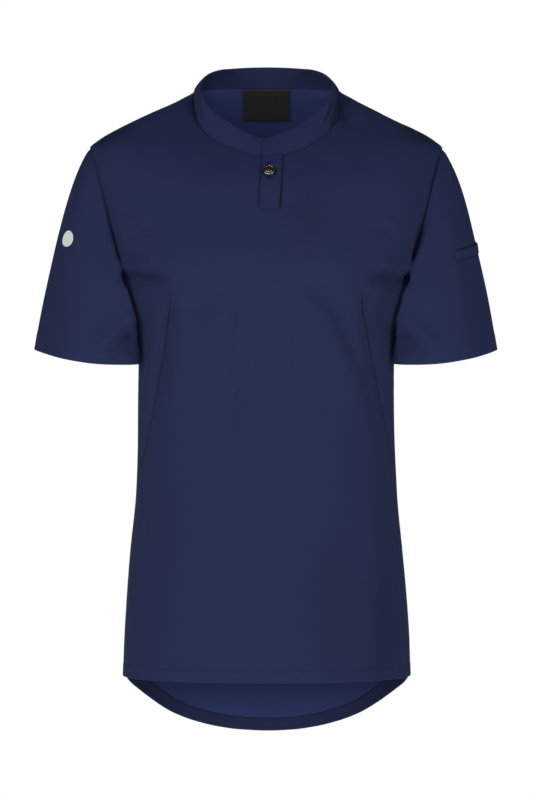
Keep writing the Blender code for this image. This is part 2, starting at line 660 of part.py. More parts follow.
def turned(name, profile, place, axis, finish):
    """A solid turned about an axis; the profile is (radius, height), its first and last on the axis."""
    side = unit(np.cross(axis, (0.0, 0.0, 1.0)))
    up = np.cross(side, axis)
    turn = np.arange(BUTTON_SEGMENTS) * 2 * math.pi / BUTTON_SEGMENTS
    circle = np.cos(turn)[:, None] * side + np.sin(turn)[:, None] * up
    vertices = []
    for radius, height in profile:
        ring = circle if radius > 0 else circle[:1]
        vertices += list(place + axis * height + ring * radius)
    return add_object(name, vertices, ring_faces(len(profile) - 2, BUTTON_SEGMENTS), finish)


def make_button(rim_finish, dome_finish):
    """A shallow dish on the placket and the domed centre that sits in it."""
    points, normals = body_form(BUTTON_X, BUTTON_Z, FRONT)
    base = points + normals * (2 * LAID_GAP + STRIP_WALL + BUTTON_LIFT)
    rim = ((0, 0), (BUTTON_RADIUS - 0.0012, 0), (BUTTON_RADIUS - 0.0002, 0.0007), (BUTTON_RADIUS, 0.0014),
           (BUTTON_RADIUS - 0.0004, RIM_TOP - 0.0001), (BUTTON_RADIUS - 0.0009, RIM_TOP),
           (RECESS_RADIUS + 0.0002, 0.0017), (RECESS_RADIUS, RECESS_FLOOR), (0, RECESS_FLOOR))
    turned("button_rim", rim, base, normals, rim_finish)
    radius = RECESS_RADIUS - SEAM_GAP
    foot = RECESS_FLOOR + SEAM_GAP
    bulge = [(radius * math.cos(a), DOME_EDGE + (DOME_TOP - DOME_EDGE) * math.sin(a))
             for a in np.linspace(0, QUARTER, DOME_STEPS + 1)[:-1]]
    dome = ((0, foot), (radius, foot), *bulge, (0, DOME_TOP))
    turned("button_dome", dome, base, normals, dome_finish)


def make_label(finish):
    """The woven label that hangs from the collar seam inside the back."""
    xs = np.linspace(-LABEL_HALF_WIDTH, LABEL_HALF_WIDTH, LABEL_COLUMNS + 1)
    zs = np.linspace(LABEL_BOTTOM_Z, LABEL_TOP_Z, LABEL_ROWS + 1)[:, None]
    points, normals = body_form(xs, zs, BACK)
    outer = points - normals * (WALL + 2 * LAID_GAP)
    return wall("neck_label", outer, outer - normals * STRIP_WALL, finish)


def make_facing(back_points, finish):
    """The strip inside the curved back hem, made from the back's own lowest points."""
    normals = panel_form(BACK)[1][0]
    rise = unit(back_points[1] - back_points[0])
    inset = normals * (WALL + LAID_GAP)
    strip = [back_points[0] + rise * up - inset for up in (FACING_RISE, FACING_WIDTH)]
    grid = np.array(strip)[:, 1:-1]
    return wall("back_hem_facing", grid, grid - normals[1:-1] * STRIP_WALL, finish)


def make_badge(finish):
    """A plain round badge on the right sleeve, with a raised rim."""
    around, down = sleeve_place(*BADGE_PLACE)
    step = 0.01
    ahead = (sleeve_form(around + step, down) - sleeve_form(around - step, down)) / (2 * step)
    lower = (sleeve_form(around, down + step) - sleeve_form(around, down - step)) / (2 * step)
    normal = unit(np.cross(lower, ahead))
    right = unit(ahead)
    low = np.cross(right, normal)
    shares = np.linalg.inv(np.array([[ahead @ right, lower @ right], [ahead @ low, lower @ low]]))
    under, top = LAID_GAP, LAID_GAP + BADGE_WALL
    dish = top - BADGE_DISH
    rings = ((0.0, under), (0.55, under), (1.0, under), (1.0, top), (0.93, top), (0.88, dish), (0.5, dish),
             (0.0, dish))
    turn = np.arange(BADGE_SEGMENTS) * 2 * math.pi / BADGE_SEGMENTS
    vertices = []
    for share, height in rings:
        spread = turn if share > 0 else turn[:1]
        move = BADGE_RADIUS * share * np.stack([np.cos(spread), np.sin(spread)], -1) @ shares.T
        vertices += list(mirrored(sleeve_form(around + move[:, 0], down + move[:, 1]) + normal * height))
    return add_object("sleeve_badge", vertices, ring_faces(len(rings) - 2, BADGE_SEGMENTS), finish)


def make_welt(finish):
    """The welt of the pen pocket on the left sleeve."""
    around, _ = sleeve_place(*WELT_START)
    seams = np.linspace(0, 1, SLEEVE_COLUMNS + 1)
    inside = seams[(seams > around + 0.01) & (seams < WELT_END_AROUND - 0.01)]
    turn = np.concatenate([[around], inside, [WELT_END_AROUND]])
    middle = WELT_START[1] + WELT_CLIMB * (turn - around) / (WELT_END_AROUND - around)
    grid_down = np.array([sleeve_down(turn, middle + WELT_HALF_HEIGHT * share) for share in (-1, 0, 1)])
    grid_around = np.broadcast_to(turn, grid_down.shape)
    outer = sleeve_form(grid_around, grid_down)
    normals = sleeve_normal(grid_around, grid_down)
    outer = outer + normals * (WELT_GAP + STRIP_WALL)
    return wall("pen_pocket_welt", outer, outer - normals * STRIP_WALL, finish)


BODY_FOLDS_OF = {side: [fold for fold in BODY_FOLDS if fold.side == side] for side in (FRONT, BACK)}


def main():
    for old in list(bpy.data.objects):
        bpy.data.objects.remove(old)
    navy = material("navy_cloth", NAVY, 0.75)
    inside = material("navy_inside", NAVY_INSIDE, 0.8)
    make_panel("front", FRONT, navy)
    back_points = make_panel("back", BACK, navy)
    make_sleeve("sleeve_left", False, navy)
    make_sleeve("sleeve_right", True, navy)
    make_collar(navy)
    make_placket("placket_upper", False, navy)
    make_placket("placket_under", True, inside)
    make_button(material("bronze", BRONZE, 0.35, 1.0), material("dark_brown", DARK_BROWN, 0.15))
    make_label(material("label_black", LABEL_BLACK, 0.6))
    make_facing(back_points, inside)
    make_welt(navy)
    make_badge(material("badge_white", BADGE_WHITE, 0.4))


main()
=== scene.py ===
"""Looks of a short-sleeve work shirt with a band collar, filled out as if worn.

Every piece of cloth is a thin shell on the form that its solid has, sampled finely, with the small
folds, the turned hems, the seams and the sewing that the solids leave out. Metres, +Z up, the front
faces -Y, and +X is the wearer's left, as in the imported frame.
"""

import math
from collections import namedtuple

import bpy
import numpy as np
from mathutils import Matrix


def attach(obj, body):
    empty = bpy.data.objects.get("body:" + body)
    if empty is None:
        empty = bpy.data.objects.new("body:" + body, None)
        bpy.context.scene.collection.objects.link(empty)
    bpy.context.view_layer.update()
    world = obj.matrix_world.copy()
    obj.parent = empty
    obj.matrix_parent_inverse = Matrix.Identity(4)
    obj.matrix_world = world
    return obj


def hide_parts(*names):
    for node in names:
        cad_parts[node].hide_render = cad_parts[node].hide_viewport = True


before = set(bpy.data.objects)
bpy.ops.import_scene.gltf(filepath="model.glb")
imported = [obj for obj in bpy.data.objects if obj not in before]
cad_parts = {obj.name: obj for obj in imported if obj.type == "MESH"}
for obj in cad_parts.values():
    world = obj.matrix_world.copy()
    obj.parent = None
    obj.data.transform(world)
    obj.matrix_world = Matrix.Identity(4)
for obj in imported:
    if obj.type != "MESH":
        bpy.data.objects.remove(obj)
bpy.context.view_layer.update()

# ---------------------------------------------------------------- sizes of the garment

FRONT, BACK = -1, 1
QUARTER = math.pi / 2
ROUND = 2.3  # exponent of the body's cross section
ROW_CLIMB = math.radians(60)  # rows of points rise from the centre up to this angle, then run level

UNDERARM_Z = -0.228
TIP_Z = -0.064
FRONT_HEM_Z = -0.658
NECK_SIDE_Z, NECK_FRONT_Z, NECK_BACK_Z = 0.001, -0.080, 0.010
TIP_ROW_BACK_Z = -0.075
ARMHOLE_SCOOP = {FRONT: math.radians(23.5), BACK: math.radians(21.0)}
ARMHOLE_FLATNESS = 0.55

Level = namedtuple("Level", "z half_width front back")
LEVELS = (
    Level(-0.7450, 0.1640, 0.1130, 0.1170),
    Level(-0.6580, 0.1624, 0.1125, 0.1165),
    Level(-0.6190, 0.1610, 0.1118, 0.1150),
    Level(-0.5850, 0.1588, 0.1105, 0.1130),
    Level(-0.5170, 0.1537, 0.1080, 0.1070),
    Level(-0.4500, 0.1472, 0.1058, 0.1000),
    Level(-0.3820, 0.1446, 0.1055, 0.0978),
    Level(-0.3140, 0.1442, 0.1090, 0.1010),
    Level(-0.2800, 0.1460, 0.1125, 0.1055),
    Level(-0.2540, 0.1525, 0.1155, 0.1085),
    Level(-0.2350, 0.1590, 0.1172, 0.1100),
    Level(-0.2045, 0.1695, 0.1170, 0.1118),
    Level(-0.1640, 0.1810, 0.1095, 0.1105),
    Level(-0.1310, 0.1900, 0.1000, 0.1070),
    Level(-0.1100, 0.1945, 0.0918, 0.1035),
    Level(-0.0850, 0.1985, 0.0772, 0.0976),
    Level(-0.0640, 0.2000, 0.0610, 0.0915),
    Level(-0.0540, 0.1890, 0.0515, 0.0878),
    Level(-0.0430, 0.1693, 0.0415, 0.0834),
    Level(-0.0316, 0.1450, 0.0315, 0.0786),
    Level(-0.0200, 0.1205, 0.0215, 0.0730),
    Level(-0.0090, 0.0992, 0.0120, 0.0675),
    Level(0.0010, 0.0824, 0.0040, 0.0620),
    Level(0.0090, 0.0806, 0.0030, 0.0575),
)
Mound = namedtuple("Mound", "side x z radius height")
MOUNDS = (
    Mound(FRONT, 0.078, -0.200, 0.058, 0.0065),
    Mound(BACK, 0.080, -0.150, 0.070, 0.0040),
)
Rise = namedtuple("Rise", "angle share")
NECK_RISES = (
    Rise(0, 0.000),
    Rise(15, 0.056),
    Rise(30, 0.162),
    Rise(45, 0.288),
    Rise(60, 0.452),
    Rise(75, 0.690),
    Rise(90, 1.000),
)
Tail = namedtuple("Tail", "x z")
TAIL = (
    Tail(0.0000, -0.7340),
    Tail(0.0300, -0.7326),
    Tail(0.0560, -0.7287),
    Tail(0.0840, -0.7210),
    Tail(0.1080, -0.7106),
    Tail(0.1240, -0.7002),
    Tail(0.1370, -0.6898),
    Tail(0.1485, -0.6792),
    Tail(0.1585, -0.6679),
    Tail(0.1630, -0.6580),
)
Edge = namedtuple("Edge", "angle x y z")
COLLAR_TOP = (
    Edge(-12, -0.0135, -0.0612, -0.0632),
    Edge(0, 0.0000, -0.0607, -0.0572),
    Edge(15, 0.0150, -0.0593, -0.0522),
    Edge(30, 0.0315, -0.0550, -0.0446),
    Edge(44, 0.0480, -0.0480, -0.0340),
    Edge(57, 0.0620, -0.0400, -0.0230),
    Edge(68, 0.0710, -0.0320, -0.0100),
    Edge(80, 0.0748, -0.0190, 0.0025),
    Edge(93, 0.0718, -0.0040, 0.0145),
    Edge(103, 0.0662, 0.0090, 0.0213),
    Edge(118, 0.0550, 0.0260, 0.0277),
    Edge(138, 0.0398, 0.0390, 0.0308),
    Edge(160, 0.0200, 0.0470, 0.0328),
    Edge(180, 0.0000, 0.0500, 0.0334),
)
LAP_ANGLE = 3.5
UNDERLAP_ANGLE = 10.5
UNDERLAP_FROM = 42.0

Station = namedtuple("Station", "around hem leave arrive")
SLEEVE = (
    Station(0.00, (0.149, 0.005, -0.306), (0.012, 0.000, -0.070), (-0.014, 0.003, -0.080)),
    Station(0.06, (0.1455, -0.021, -0.307), (-0.006, -0.034, -0.075), (-0.006, 0.004, -0.080)),
    Station(0.12, (0.1412, -0.042, -0.308), (-0.052, -0.098, -0.085), (0.002, 0.010, -0.078)),
    Station(0.19, (0.155, -0.054, -0.309), (-0.034, -0.078, -0.110), (0.000, 0.006, -0.110)),
    Station(0.28, (0.190, -0.055, -0.308), (0.030, -0.036, -0.130), (0.006, 0.002, -0.150)),
    Station(0.38, (0.2275, -0.043, -0.302), (0.070, -0.022, -0.120), (0.026, 0.000, -0.190)),
    Station(0.50, (0.2613, 0.004, -0.2915), (0.083, 0.000, -0.110), (0.038, 0.000, -0.220)),
    Station(0.61, (0.2506, 0.044, -0.292), (0.070, 0.022, -0.115), (0.030, 0.000, -0.195)),
    Station(0.72, (0.218, 0.064, -0.297), (0.040, 0.030, -0.125), (0.012, 0.000, -0.160)),
    Station(0.82, (0.180, 0.066, -0.302), (0.006, 0.030, -0.110), (-0.002, 0.000, -0.125)),
    Station(0.90, (0.151, 0.051, -0.305), (-0.012, 0.034, -0.085), (-0.006, -0.004, -0.095)),
    Station(0.95, (0.147, 0.030, -0.306), (-0.004, 0.018, -0.075), (-0.010, 0.000, -0.085)),
    Station(1.00, (0.149, 0.005, -0.306), (0.012, 0.000, -0.070), (-0.014, 0.003, -0.080)),
)

# folds that the solids have too; a route is in (x, z) seen from the front, a trough has a depth below 0
Fold = namedtuple("Fold", "side width depth route")
MAIN_FOLDS = (
    Fold(FRONT, 0.009, -0.0038, ((-0.1065, -0.228), (-0.1124, -0.269), (-0.1207, -0.319),
                                 (-0.1358, -0.397), (-0.144, -0.437))),
    Fold(FRONT, 0.009, -0.0038, ((0.1040, -0.226), (0.1118, -0.264), (0.1208, -0.308),
                                 (0.139, -0.392), (0.143, -0.430))),
    Fold(FRONT, 0.014, 0.0030, ((-0.085, -0.262), (-0.094, -0.310), (-0.108, -0.372))),
    Fold(FRONT, 0.014, 0.0030, ((0.078, -0.270), (0.096, -0.330), (0.112, -0.392))),
    Fold(FRONT, 0.008, -0.0050, ((-0.176, -0.212), (-0.146, -0.213), (-0.126, -0.214), (-0.104, -0.218))),
    Fold(FRONT, 0.008, -0.0050, ((0.176, -0.214), (0.146, -0.214), (0.128, -0.213), (0.110, -0.216))),
    Fold(FRONT, 0.015, -0.0030, ((-0.088, -0.236), (-0.066, -0.238), (-0.044, -0.232))),
    Fold(FRONT, 0.015, -0.0030, ((0.042, -0.232), (0.072, -0.232), (0.086, -0.254), (0.094, -0.302))),
    Fold(FRONT, 0.016, -0.0030, ((-0.026, -0.211), (-0.027, -0.257), (-0.0334, -0.325),
                                 (-0.0454, -0.359), (-0.062, -0.412))),
    Fold(FRONT, 0.013, 0.0020, ((0.015, -0.200), (0.015, -0.245), (0.017, -0.285))),
    Fold(FRONT, 0.010, -0.0035, ((0.080, -0.022), (0.094, -0.034), (0.102, -0.052))),
    Fold(BACK, 0.014, -0.0045, ((-0.098, -0.245), (-0.112, -0.310), (-0.122, -0.400))),
    Fold(BACK, 0.014, -0.0045, ((0.100, -0.240), (0.110, -0.318), (0.124, -0.410))),
    Fold(BACK, 0.020, -0.0035, ((-0.040, -0.300), (-0.052, -0.372), (-0.050, -0.470))),
    Fold(BACK, 0.020, -0.0035, ((0.030, -0.320), (0.046, -0.395), (0.058, -0.490))),
    Fold(BACK, 0.012, -0.0030, ((0.150, -0.190), (0.118, -0.196), (0.090, -0.186))),
    Fold(BACK, 0.012, -0.0030, ((-0.150, -0.192), (-0.120, -0.200), (-0.086, -0.194))),
)
# smaller folds and dents, only here
SMALL_FOLDS = (
    Fold(FRONT, 0.0050, -0.0016, ((-0.0775, -0.010), (-0.0785, -0.022), (-0.0775, -0.034))),
    Fold(FRONT, 0.0060, 0.0012, ((0.0640, -0.022), (0.0680, -0.032), (0.0690, -0.046))),
    Fold(FRONT, 0.0070, -0.0022, ((0.0780, -0.014), (0.0800, -0.024), (0.0790, -0.036))),
    Fold(FRONT, 0.0060, -0.0022, ((-0.152, -0.166), (-0.138, -0.161), (-0.120, -0.156))),
    Fold(FRONT, 0.0070, 0.0014, ((-0.150, -0.153), (-0.134, -0.149), (-0.116, -0.145))),
    Fold(FRONT, 0.0060, -0.0022, ((0.112, -0.157), (0.128, -0.160), (0.142, -0.167))),
    Fold(FRONT, 0.0070, 0.0014, ((0.112, -0.145), (0.128, -0.148), (0.142, -0.154))),
    Fold(FRONT, 0.0070, 0.0034, ((-0.172, -0.198), (-0.142, -0.199), (-0.118, -0.201))),
    Fold(FRONT, 0.0070, 0.0034, ((0.172, -0.200), (0.142, -0.200), (0.120, -0.200))),
    Fold(FRONT, 0.0100, -0.0040, ((-0.098, -0.236), (-0.080, -0.246), (-0.060, -0.246), (-0.042, -0.232))),
    Fold(FRONT, 0.0090, -0.0040, ((0.036, -0.222), (0.058, -0.232), (0.078, -0.252), (0.092, -0.284),
                                  (0.100, -0.318))),
    Fold(FRONT, 0.0100, -0.0034, ((-0.118, -0.228), (-0.114, -0.240), (-0.110, -0.262))),
    Fold(FRONT, 0.0100, -0.0034, ((0.118, -0.228), (0.114, -0.240), (0.110, -0.262))),
    Fold(FRONT, 0.0120, -0.0026, ((0.010, -0.262), (-0.012, -0.312), (-0.036, -0.360), (-0.052, -0.400))),
    Fold(FRONT, 0.0080, 0.0018, ((-0.066, -0.256), (-0.062, -0.276), (-0.066, -0.302))),
    Fold(FRONT, 0.0070, -0.0032, ((-0.0215, -0.208), (-0.0285, -0.257), (-0.034, -0.325), (-0.046, -0.362))),
    Fold(FRONT, 0.0065, -0.0018, ((0.028, -0.266), (0.030, -0.295), (0.029, -0.324))),
    Fold(FRONT, 0.0080, -0.0016, ((-0.078, -0.262), (-0.086, -0.300), (-0.092, -0.350))),
    Fold(FRONT, 0.0120, 0.0010, ((-0.012, -0.300), (-0.022, -0.352), (-0.034, -0.410))),
    Fold(FRONT, 0.0100, -0.0010, ((-0.118, -0.470), (-0.122, -0.530), (-0.118, -0.590))),
    Fold(FRONT, 0.0140, -0.0020, ((0.138, -0.460), (0.143, -0.540), (0.143, -0.640))),
    Fold(FRONT, 0.0200, 0.0028, ((0.108, -0.450), (0.118, -0.540), (0.116, -0.655))),
    Fold(FRONT, 0.0140, -0.0009, ((0.040, -0.430), (0.052, -0.510), (0.050, -0.600))),
    Fold(FRONT, 0.0140, -0.0008, ((-0.060, -0.480), (-0.068, -0.560), (-0.064, -0.645))),
    Fold(BACK, 0.0060, -0.0014, ((-0.060, -0.010), (-0.072, -0.026), (-0.076, -0.046))),
    Fold(BACK, 0.0060, -0.0014, ((0.062, -0.012), (0.074, -0.030), (0.080, -0.052))),
    Fold(BACK, 0.0100, 0.0012, ((-0.145, -0.172), (-0.118, -0.182), (-0.092, -0.178))),
    Fold(BACK, 0.0100, 0.0012, ((0.147, -0.170), (0.120, -0.180), (0.096, -0.174))),
    Fold(BACK, 0.0130, -0.0016, ((0.060, -0.372), (0.010, -0.384), (-0.044, -0.376))),
    Fold(BACK, 0.0120, 0.0014, ((0.070, -0.352), (0.020, -0.362), (-0.036, -0.356))),
    Fold(BACK, 0.0120, -0.0013, ((-0.078, -0.404), (-0.040, -0.412), (0.004, -0.404))),
    Fold(BACK, 0.0160, -0.0012, ((0.006, -0.440), (0.010, -0.540), (0.004, -0.640))),
    Fold(BACK, 0.0140, -0.0012, ((-0.108, -0.470), (-0.116, -0.560), (-0.112, -0.650))),
    Fold(BACK, 0.0150, -0.0012, ((0.106, -0.480), (0.112, -0.580), (0.108, -0.660))),
)
# the same on the left sleeve, mirrored on the right one: routes in (share around, share down)
SLEEVE_FOLDS = (
    Fold(FRONT, 0.011, -0.0040, ((0.150, 0.66), (0.176, 0.76), (0.216, 0.90), (0.236, 1.00))),
    Fold(FRONT, 0.010, 0.0042, ((0.112, 0.42), (0.204, 0.67), (0.250, 0.82), (0.285, 0.93))),
    Fold(BACK, 0.012, -0.0045, ((0.900, 0.50), (0.820, 0.66), (0.720, 0.84))),
    Fold(BACK, 0.012, 0.0030, ((0.870, 0.30), (0.790, 0.48), (0.700, 0.60))),
)
# on the wearer's left sleeve alone
LEFT_SLEEVE_FOLDS = (
    Fold(FRONT, 0.0055, -0.0040, ((0.260, 0.03), (0.190, 0.035), (0.120, 0.05), (0.060, 0.08))),
)
# painted shade in pinched and sunken places, the same on both faces; here a depth is a share of the shade
PAINTED_SHADE_PLACES = (
    Fold(FRONT, 0.0045, 0.42, ((-0.162, -0.2090), (-0.146, -0.2095), (-0.130, -0.2130), (-0.110, -0.2165))),
    Fold(FRONT, 0.0050, 0.45, ((0.162, -0.2215), (0.148, -0.2165), (0.134, -0.2125), (0.116, -0.2100))),
    Fold(FRONT, 0.0040, 0.25, ((0.153, -0.2300), (0.140, -0.2270), (0.126, -0.2235))),
    Fold(FRONT, 0.0180, 0.10, ((-0.128, -0.2250), (-0.122, -0.2500), (-0.122, -0.2800))),
    Fold(FRONT, 0.0160, 0.14, ((0.126, -0.2250), (0.122, -0.2500), (0.124, -0.2900))),
    Fold(FRONT, 0.0320, 0.16, ((0.086, -0.4850), (0.082, -0.5800), (0.080, -0.6680))),
    Fold(FRONT, 0.0200, 0.18, ((0.126, -0.5300), (0.128, -0.6000), (0.128, -0.6680))),
    Fold(FRONT, 0.0130, 0.42, ((0.157, -0.5000), (0.160, -0.5900), (0.162, -0.6680))),
    Fold(FRONT, 0.0120, 0.40, ((-0.157, -0.5200), (-0.160, -0.5900), (-0.162, -0.6680))),
    Fold(FRONT, 0.0160, 0.50, ((0.197, -0.0640), (0.175, -0.0505), (0.145, -0.0365))),
    Fold(FRONT, 0.0150, 0.40, ((-0.197, -0.0640), (-0.175, -0.0505), (-0.145, -0.0365))),
    Fold(FRONT, 0.0100, 0.40, ((0.086, -0.0060), (0.085, -0.0200), (0.079, -0.0380))),
    Fold(FRONT, 0.0060, 0.40, ((-0.084, -0.0040), (-0.082, -0.0180), (-0.080, -0.0320))),
    Fold(FRONT, 0.0300, 0.12, ((0.020, -0.1200), (0.045, -0.1500), (0.060, -0.1800))),
    Fold(BACK, 0.0060, 0.25, ((0.158, -0.1940), (0.130, -0.2040), (0.104, -0.2000))),
    Fold(BACK, 0.0060, 0.25, ((-0.158, -0.1980), (-0.132, -0.2060), (-0.100, -0.2040))),
    Fold(BACK, 0.0180, 0.14, ((-0.128, -0.3000), (-0.124, -0.3600), (-0.126, -0.4300))),
    Fold(BACK, 0.0180, 0.14, ((0.128, -0.3000), (0.124, -0.3600), (0.126, -0.4300))),
)
SLEEVE_PAINTED_SHADE_PLACES = (
    Fold(FRONT, 0.0150, 0.30, ((0.150, 0.66), (0.180, 0.80), (0.205, 0.97))),
    Fold(BACK, 0.0150, 0.24, ((0.850, 0.62), (0.800, 0.78), (0.770, 0.96))),
)
PAINTED_SHADE_MOST = 0.6
FOLD_STEPS = 20

# sewn darts and sharp creases, drawn finer than the mesh as painted shade with a small dent in the bump; start and end
# say how deep each end is
Crease = namedtuple("Crease", "width start end route")
FRONT_CREASES = (
    Crease(0.0010, 0.9, 0.8, ((-0.1065, -0.2225), (-0.1124, -0.269), (-0.1207, -0.319),
                              (-0.1358, -0.397), (-0.144, -0.4376))),
    Crease(0.0010, 0.9, 0.8, ((0.1038, -0.2205), (0.1118, -0.264), (0.1208, -0.308),
                              (0.139, -0.392), (0.1432, -0.425))),
    Crease(0.0008, 0.7, 0.1, ((0.0181, -0.0720), (0.0175, -0.0900), (0.0162, -0.1150), (0.0148, -0.1400))),
    Crease(0.0008, 0.4, 0.5, ((-0.0090, -0.1393), (0.0035, -0.1396), (0.0162, -0.1393))),
    Crease(0.0011, 0.9, 0.6, ((-0.0790, -0.0080), (-0.0798, -0.0190), (-0.0785, -0.0320))),
)
CREASE_REACH = 0.008  # a crease is drawn this far to each side
CREASE_FIELD = 0.020  # its distance is known this far, so that nothing else reads as a crease
FAR = 9.0
# shade along the wearer's left of the band and the puckers beside it: routes in (degrees, share up)
COLLAR_CREASES = (
    Crease(0.0034, 1.00, 0.8, ((100, 0.50), (88, 0.34), (77, 0.22), (67, 0.12), (56, 0.04))),
    Crease(0.0017, 0.70, 0.6, ((69, 0.84), (64, 0.70), (58, 0.56), (53, 0.46))),
)

# ---------------------------------------------------------------- cloth, seams and sewing

CLOTH = 0.0007
BAND = 0.0020
TAPE = 0.0007
HEM_DEPTH = 0.0145  # turned up twice
HEM_STITCH = 0.0133
SLEEVE_HEM = 0.0200
HEM_EXTRA = 0.0009  # how much thicker a hem is, on the inside
HEM_PROUD = 0.0003
FACING_WIDTH = 0.015
FACING_STITCH = 0.0138
SEAM_DIP = 0.0008
SEAM_REACH, SEAM_REACH_SLEEVE = 0.0016, 0.0026
ARMHOLE_CREASE, ARMHOLE_REACH = 0.0010, 0.006
STITCH_GROOVE = 0.00028
GROOVE_REACH = 0.0007
PITCH, STITCH_LENGTH, THREAD_RADIUS = 0.0030, 0.0024, 0.00018

PLACKET_LEFT_X, PLACKET_RIGHT_X = -0.0064, 0.0158
PLACKET_BOTTOM_Z = -0.1385
PLACKET_LEAN = 0.0017  # its top leans this far to the wearer's left of its middle
NOTCH_INSET = 0.0020
NOTCH_SIDES = (PLACKET_LEFT_X + NOTCH_INSET, PLACKET_RIGHT_X - NOTCH_INSET)
TIP_ROW_FRONT_Z = PLACKET_BOTTOM_Z + NOTCH_INSET
BUTTON_X, BUTTON_Z = 0.0027, -0.0965
BUTTON_RADIUS, RECESS_RADIUS = 0.0062, 0.0048
BUTTONHOLE_HALF = 0.0098
LABEL_HALF_WIDTH, LABEL_BOTTOM_Z = 0.026, -0.0253
BADGE_PLACE, BADGE_RADIUS, BADGE_WALL = (0.2224, -0.1677), 0.00925, 0.0010
WELT_START, WELT_END_AROUND, WELT_CLIMB = (0.2094, -0.1880), 0.565, 0.017
WELT_HALF_HEIGHT = 0.0052

# grids: distances in from a free edge or a seam, then an even spread
HEM_STEPS = (0, .00015, .0004, .0008, .0016, .0035, .0070, .0105, .0122, .0128, .0133, .0138, .0143,
             .0149, .0158, .0175, .0200)
EDGE_SHARES = (0, .002, .005, .009, .014, .022, .034)
SIDE_COLUMNS, NOTCH_COLUMNS = 48, 8
BODY_ROWS, ARMHOLE_ROWS, SHOULDER_ROWS = 130, 56, 24
SLEEVE_ROWS = 66


# ---------------------------------------------------------------- curves through the tables

def cubic(places, values, at, rounded=False):
    """A smooth curve through a table, read at `at`; unless rounded it never overshoots."""
    x = np.asarray(places, float)
    y = np.asarray(values, float).reshape(len(x), -1)
    at = np.asarray(at, float)
    step = np.diff(x)[:, None]
    secant = np.diff(y, axis=0) / step
    before, after = secant[:-1], secant[1:]
    if rounded:
        middle = (before * step[1:] + after * step[:-1]) / (step[:-1] + step[1:])
    else:
        near, far = 2 * step[1:] + step[:-1], step[1:] + 2 * step[:-1]
        with np.errstate(divide="ignore", invalid="ignore"):
            mean = (near + far) / (near / before + far / after)
        middle = np.where(before * after > 0, mean, 0.0)
    slope = np.concatenate([secant[:1], middle, secant[-1:]])
    flat = at.reshape(-1)
    i = np.clip(np.searchsorted(x, flat) - 1, 0, len(x) - 2)
    t = ((flat - x[i]) / step[i, 0])[:, None]
    h = step[i]
    out = ((1 + 2 * t) * (1 - t) ** 2 * y[i] + t * (1 - t) ** 2 * h * slope[i]
           + t * t * (3 - 2 * t) * y[i + 1] + t * t * (t - 1) * h * slope[i + 1])
    return out[:, 0].reshape(at.shape) if y.shape[1] == 1 else out.reshape(at.shape + (y.shape[1],))


def column(table, name):
    return [getattr(row, name) for row in table]


def unit(vectors):
    return vectors / np.maximum(np.linalg.norm(vectors, axis=-1, keepdims=True), 1e-12)


def smooth(share):
    share = np.clip(share, 0, 1)
    return share * share * (3 - 2 * share)


def arc(angle):
    sine, cosine = np.sin(angle), np.cos(angle)
    size = (np.abs(sine) ** ROUND + np.abs(cosine) ** ROUND) ** (1 / ROUND)
    return sine / size, cosine / size


def lengths(points, axis):
    """Distance along a grid's rows or columns from their first point."""
    step = np.linalg.norm(np.diff(points, axis=axis), axis=-1)
    start = np.zeros_like(np.take(step, [0], axis=axis))
    return np.concatenate([start, np.cumsum(step, axis=axis)], axis=axis)


def mirrored(points):
    return points * np.array([-1.0, 1.0, 1.0])


# ---------------------------------------------------------------- the form of the body and sleeves

def levels(z):
    return cubic(column(LEVELS, "z"), [row[1:] for row in LEVELS], z)


def half_width(z):
    return levels(z)[..., 0]


def body_form(x, z, side):
    """Points and outward normals of the body's form, seen from the front at (x, z)."""
    x, z = np.broadcast_arrays(np.asarray(x, float), np.asarray(z, float))
    reach = 1 if side == FRONT else 2
    size = levels(z)
    step = 0.0005
    slope = (levels(z + step) - levels(z - step)) / (2 * step)
    width, depth = size[..., 0], size[..., reach]
    across = np.clip(np.abs(x) / width, 0.0, 1.0)
    deep = (1 - across**ROUND) ** (1 / ROUND)
    points = np.stack([x, side * depth * deep, z], -1)
    normals = np.stack([
        np.sign(x) * across ** (ROUND - 1) / width,
        side * deep ** (ROUND - 1) / depth,
        -(across**ROUND * slope[..., 0] / width + deep**ROUND * slope[..., reach] / depth),
    ], -1)
    for mound in MOUNDS:
        if mound.side == side:
            away = (np.abs(x) - mound.x) ** 2 + (z - mound.z) ** 2
            points[..., 1] += side * mound.height * np.exp(-away / mound.radius**2)
    return points, unit(normals)


def neck_z(angle, side):
    if side == FRONT:
        share = cubic(column(NECK_RISES, "angle"), column(NECK_RISES, "share"), np.degrees(np.abs(angle)))
        return NECK_FRONT_Z + (NECK_SIDE_Z - NECK_FRONT_Z) * share
    return NECK_BACK_Z + (NECK_SIDE_Z - NECK_BACK_Z) * (1 - arc(angle)[1])


def neck_form(angle):
    side = FRONT if abs(angle) <= QUARTER else BACK
    turned = angle if side == FRONT else math.copysign(math.pi, angle) - angle
    x = half_width(NECK_SIDE_Z) * arc(turned)[0]
    return body_form(x, neck_z(turned, side), side)


def armhole(lift, side):
    turn = math.pi * np.asarray(lift, float)
    angle = QUARTER - ARMHOLE_SCOOP[side] * np.abs(np.sin(turn)) ** ARMHOLE_FLATNESS
    return angle, UNDERARM_Z + (TIP_Z - UNDERARM_Z) * (1 - np.cos(turn)) / 2


def armhole_form(lift, side):
    angle, z = armhole(lift, side)
    return body_form(half_width(z) * arc(angle)[0], z, side)


def tail_z(x):
    across, z = np.array(column(TAIL, "x")), np.array(column(TAIL, "z"))
    return cubic(np.concatenate([-across[:0:-1], across]), np.concatenate([z[:0:-1], z]), x)


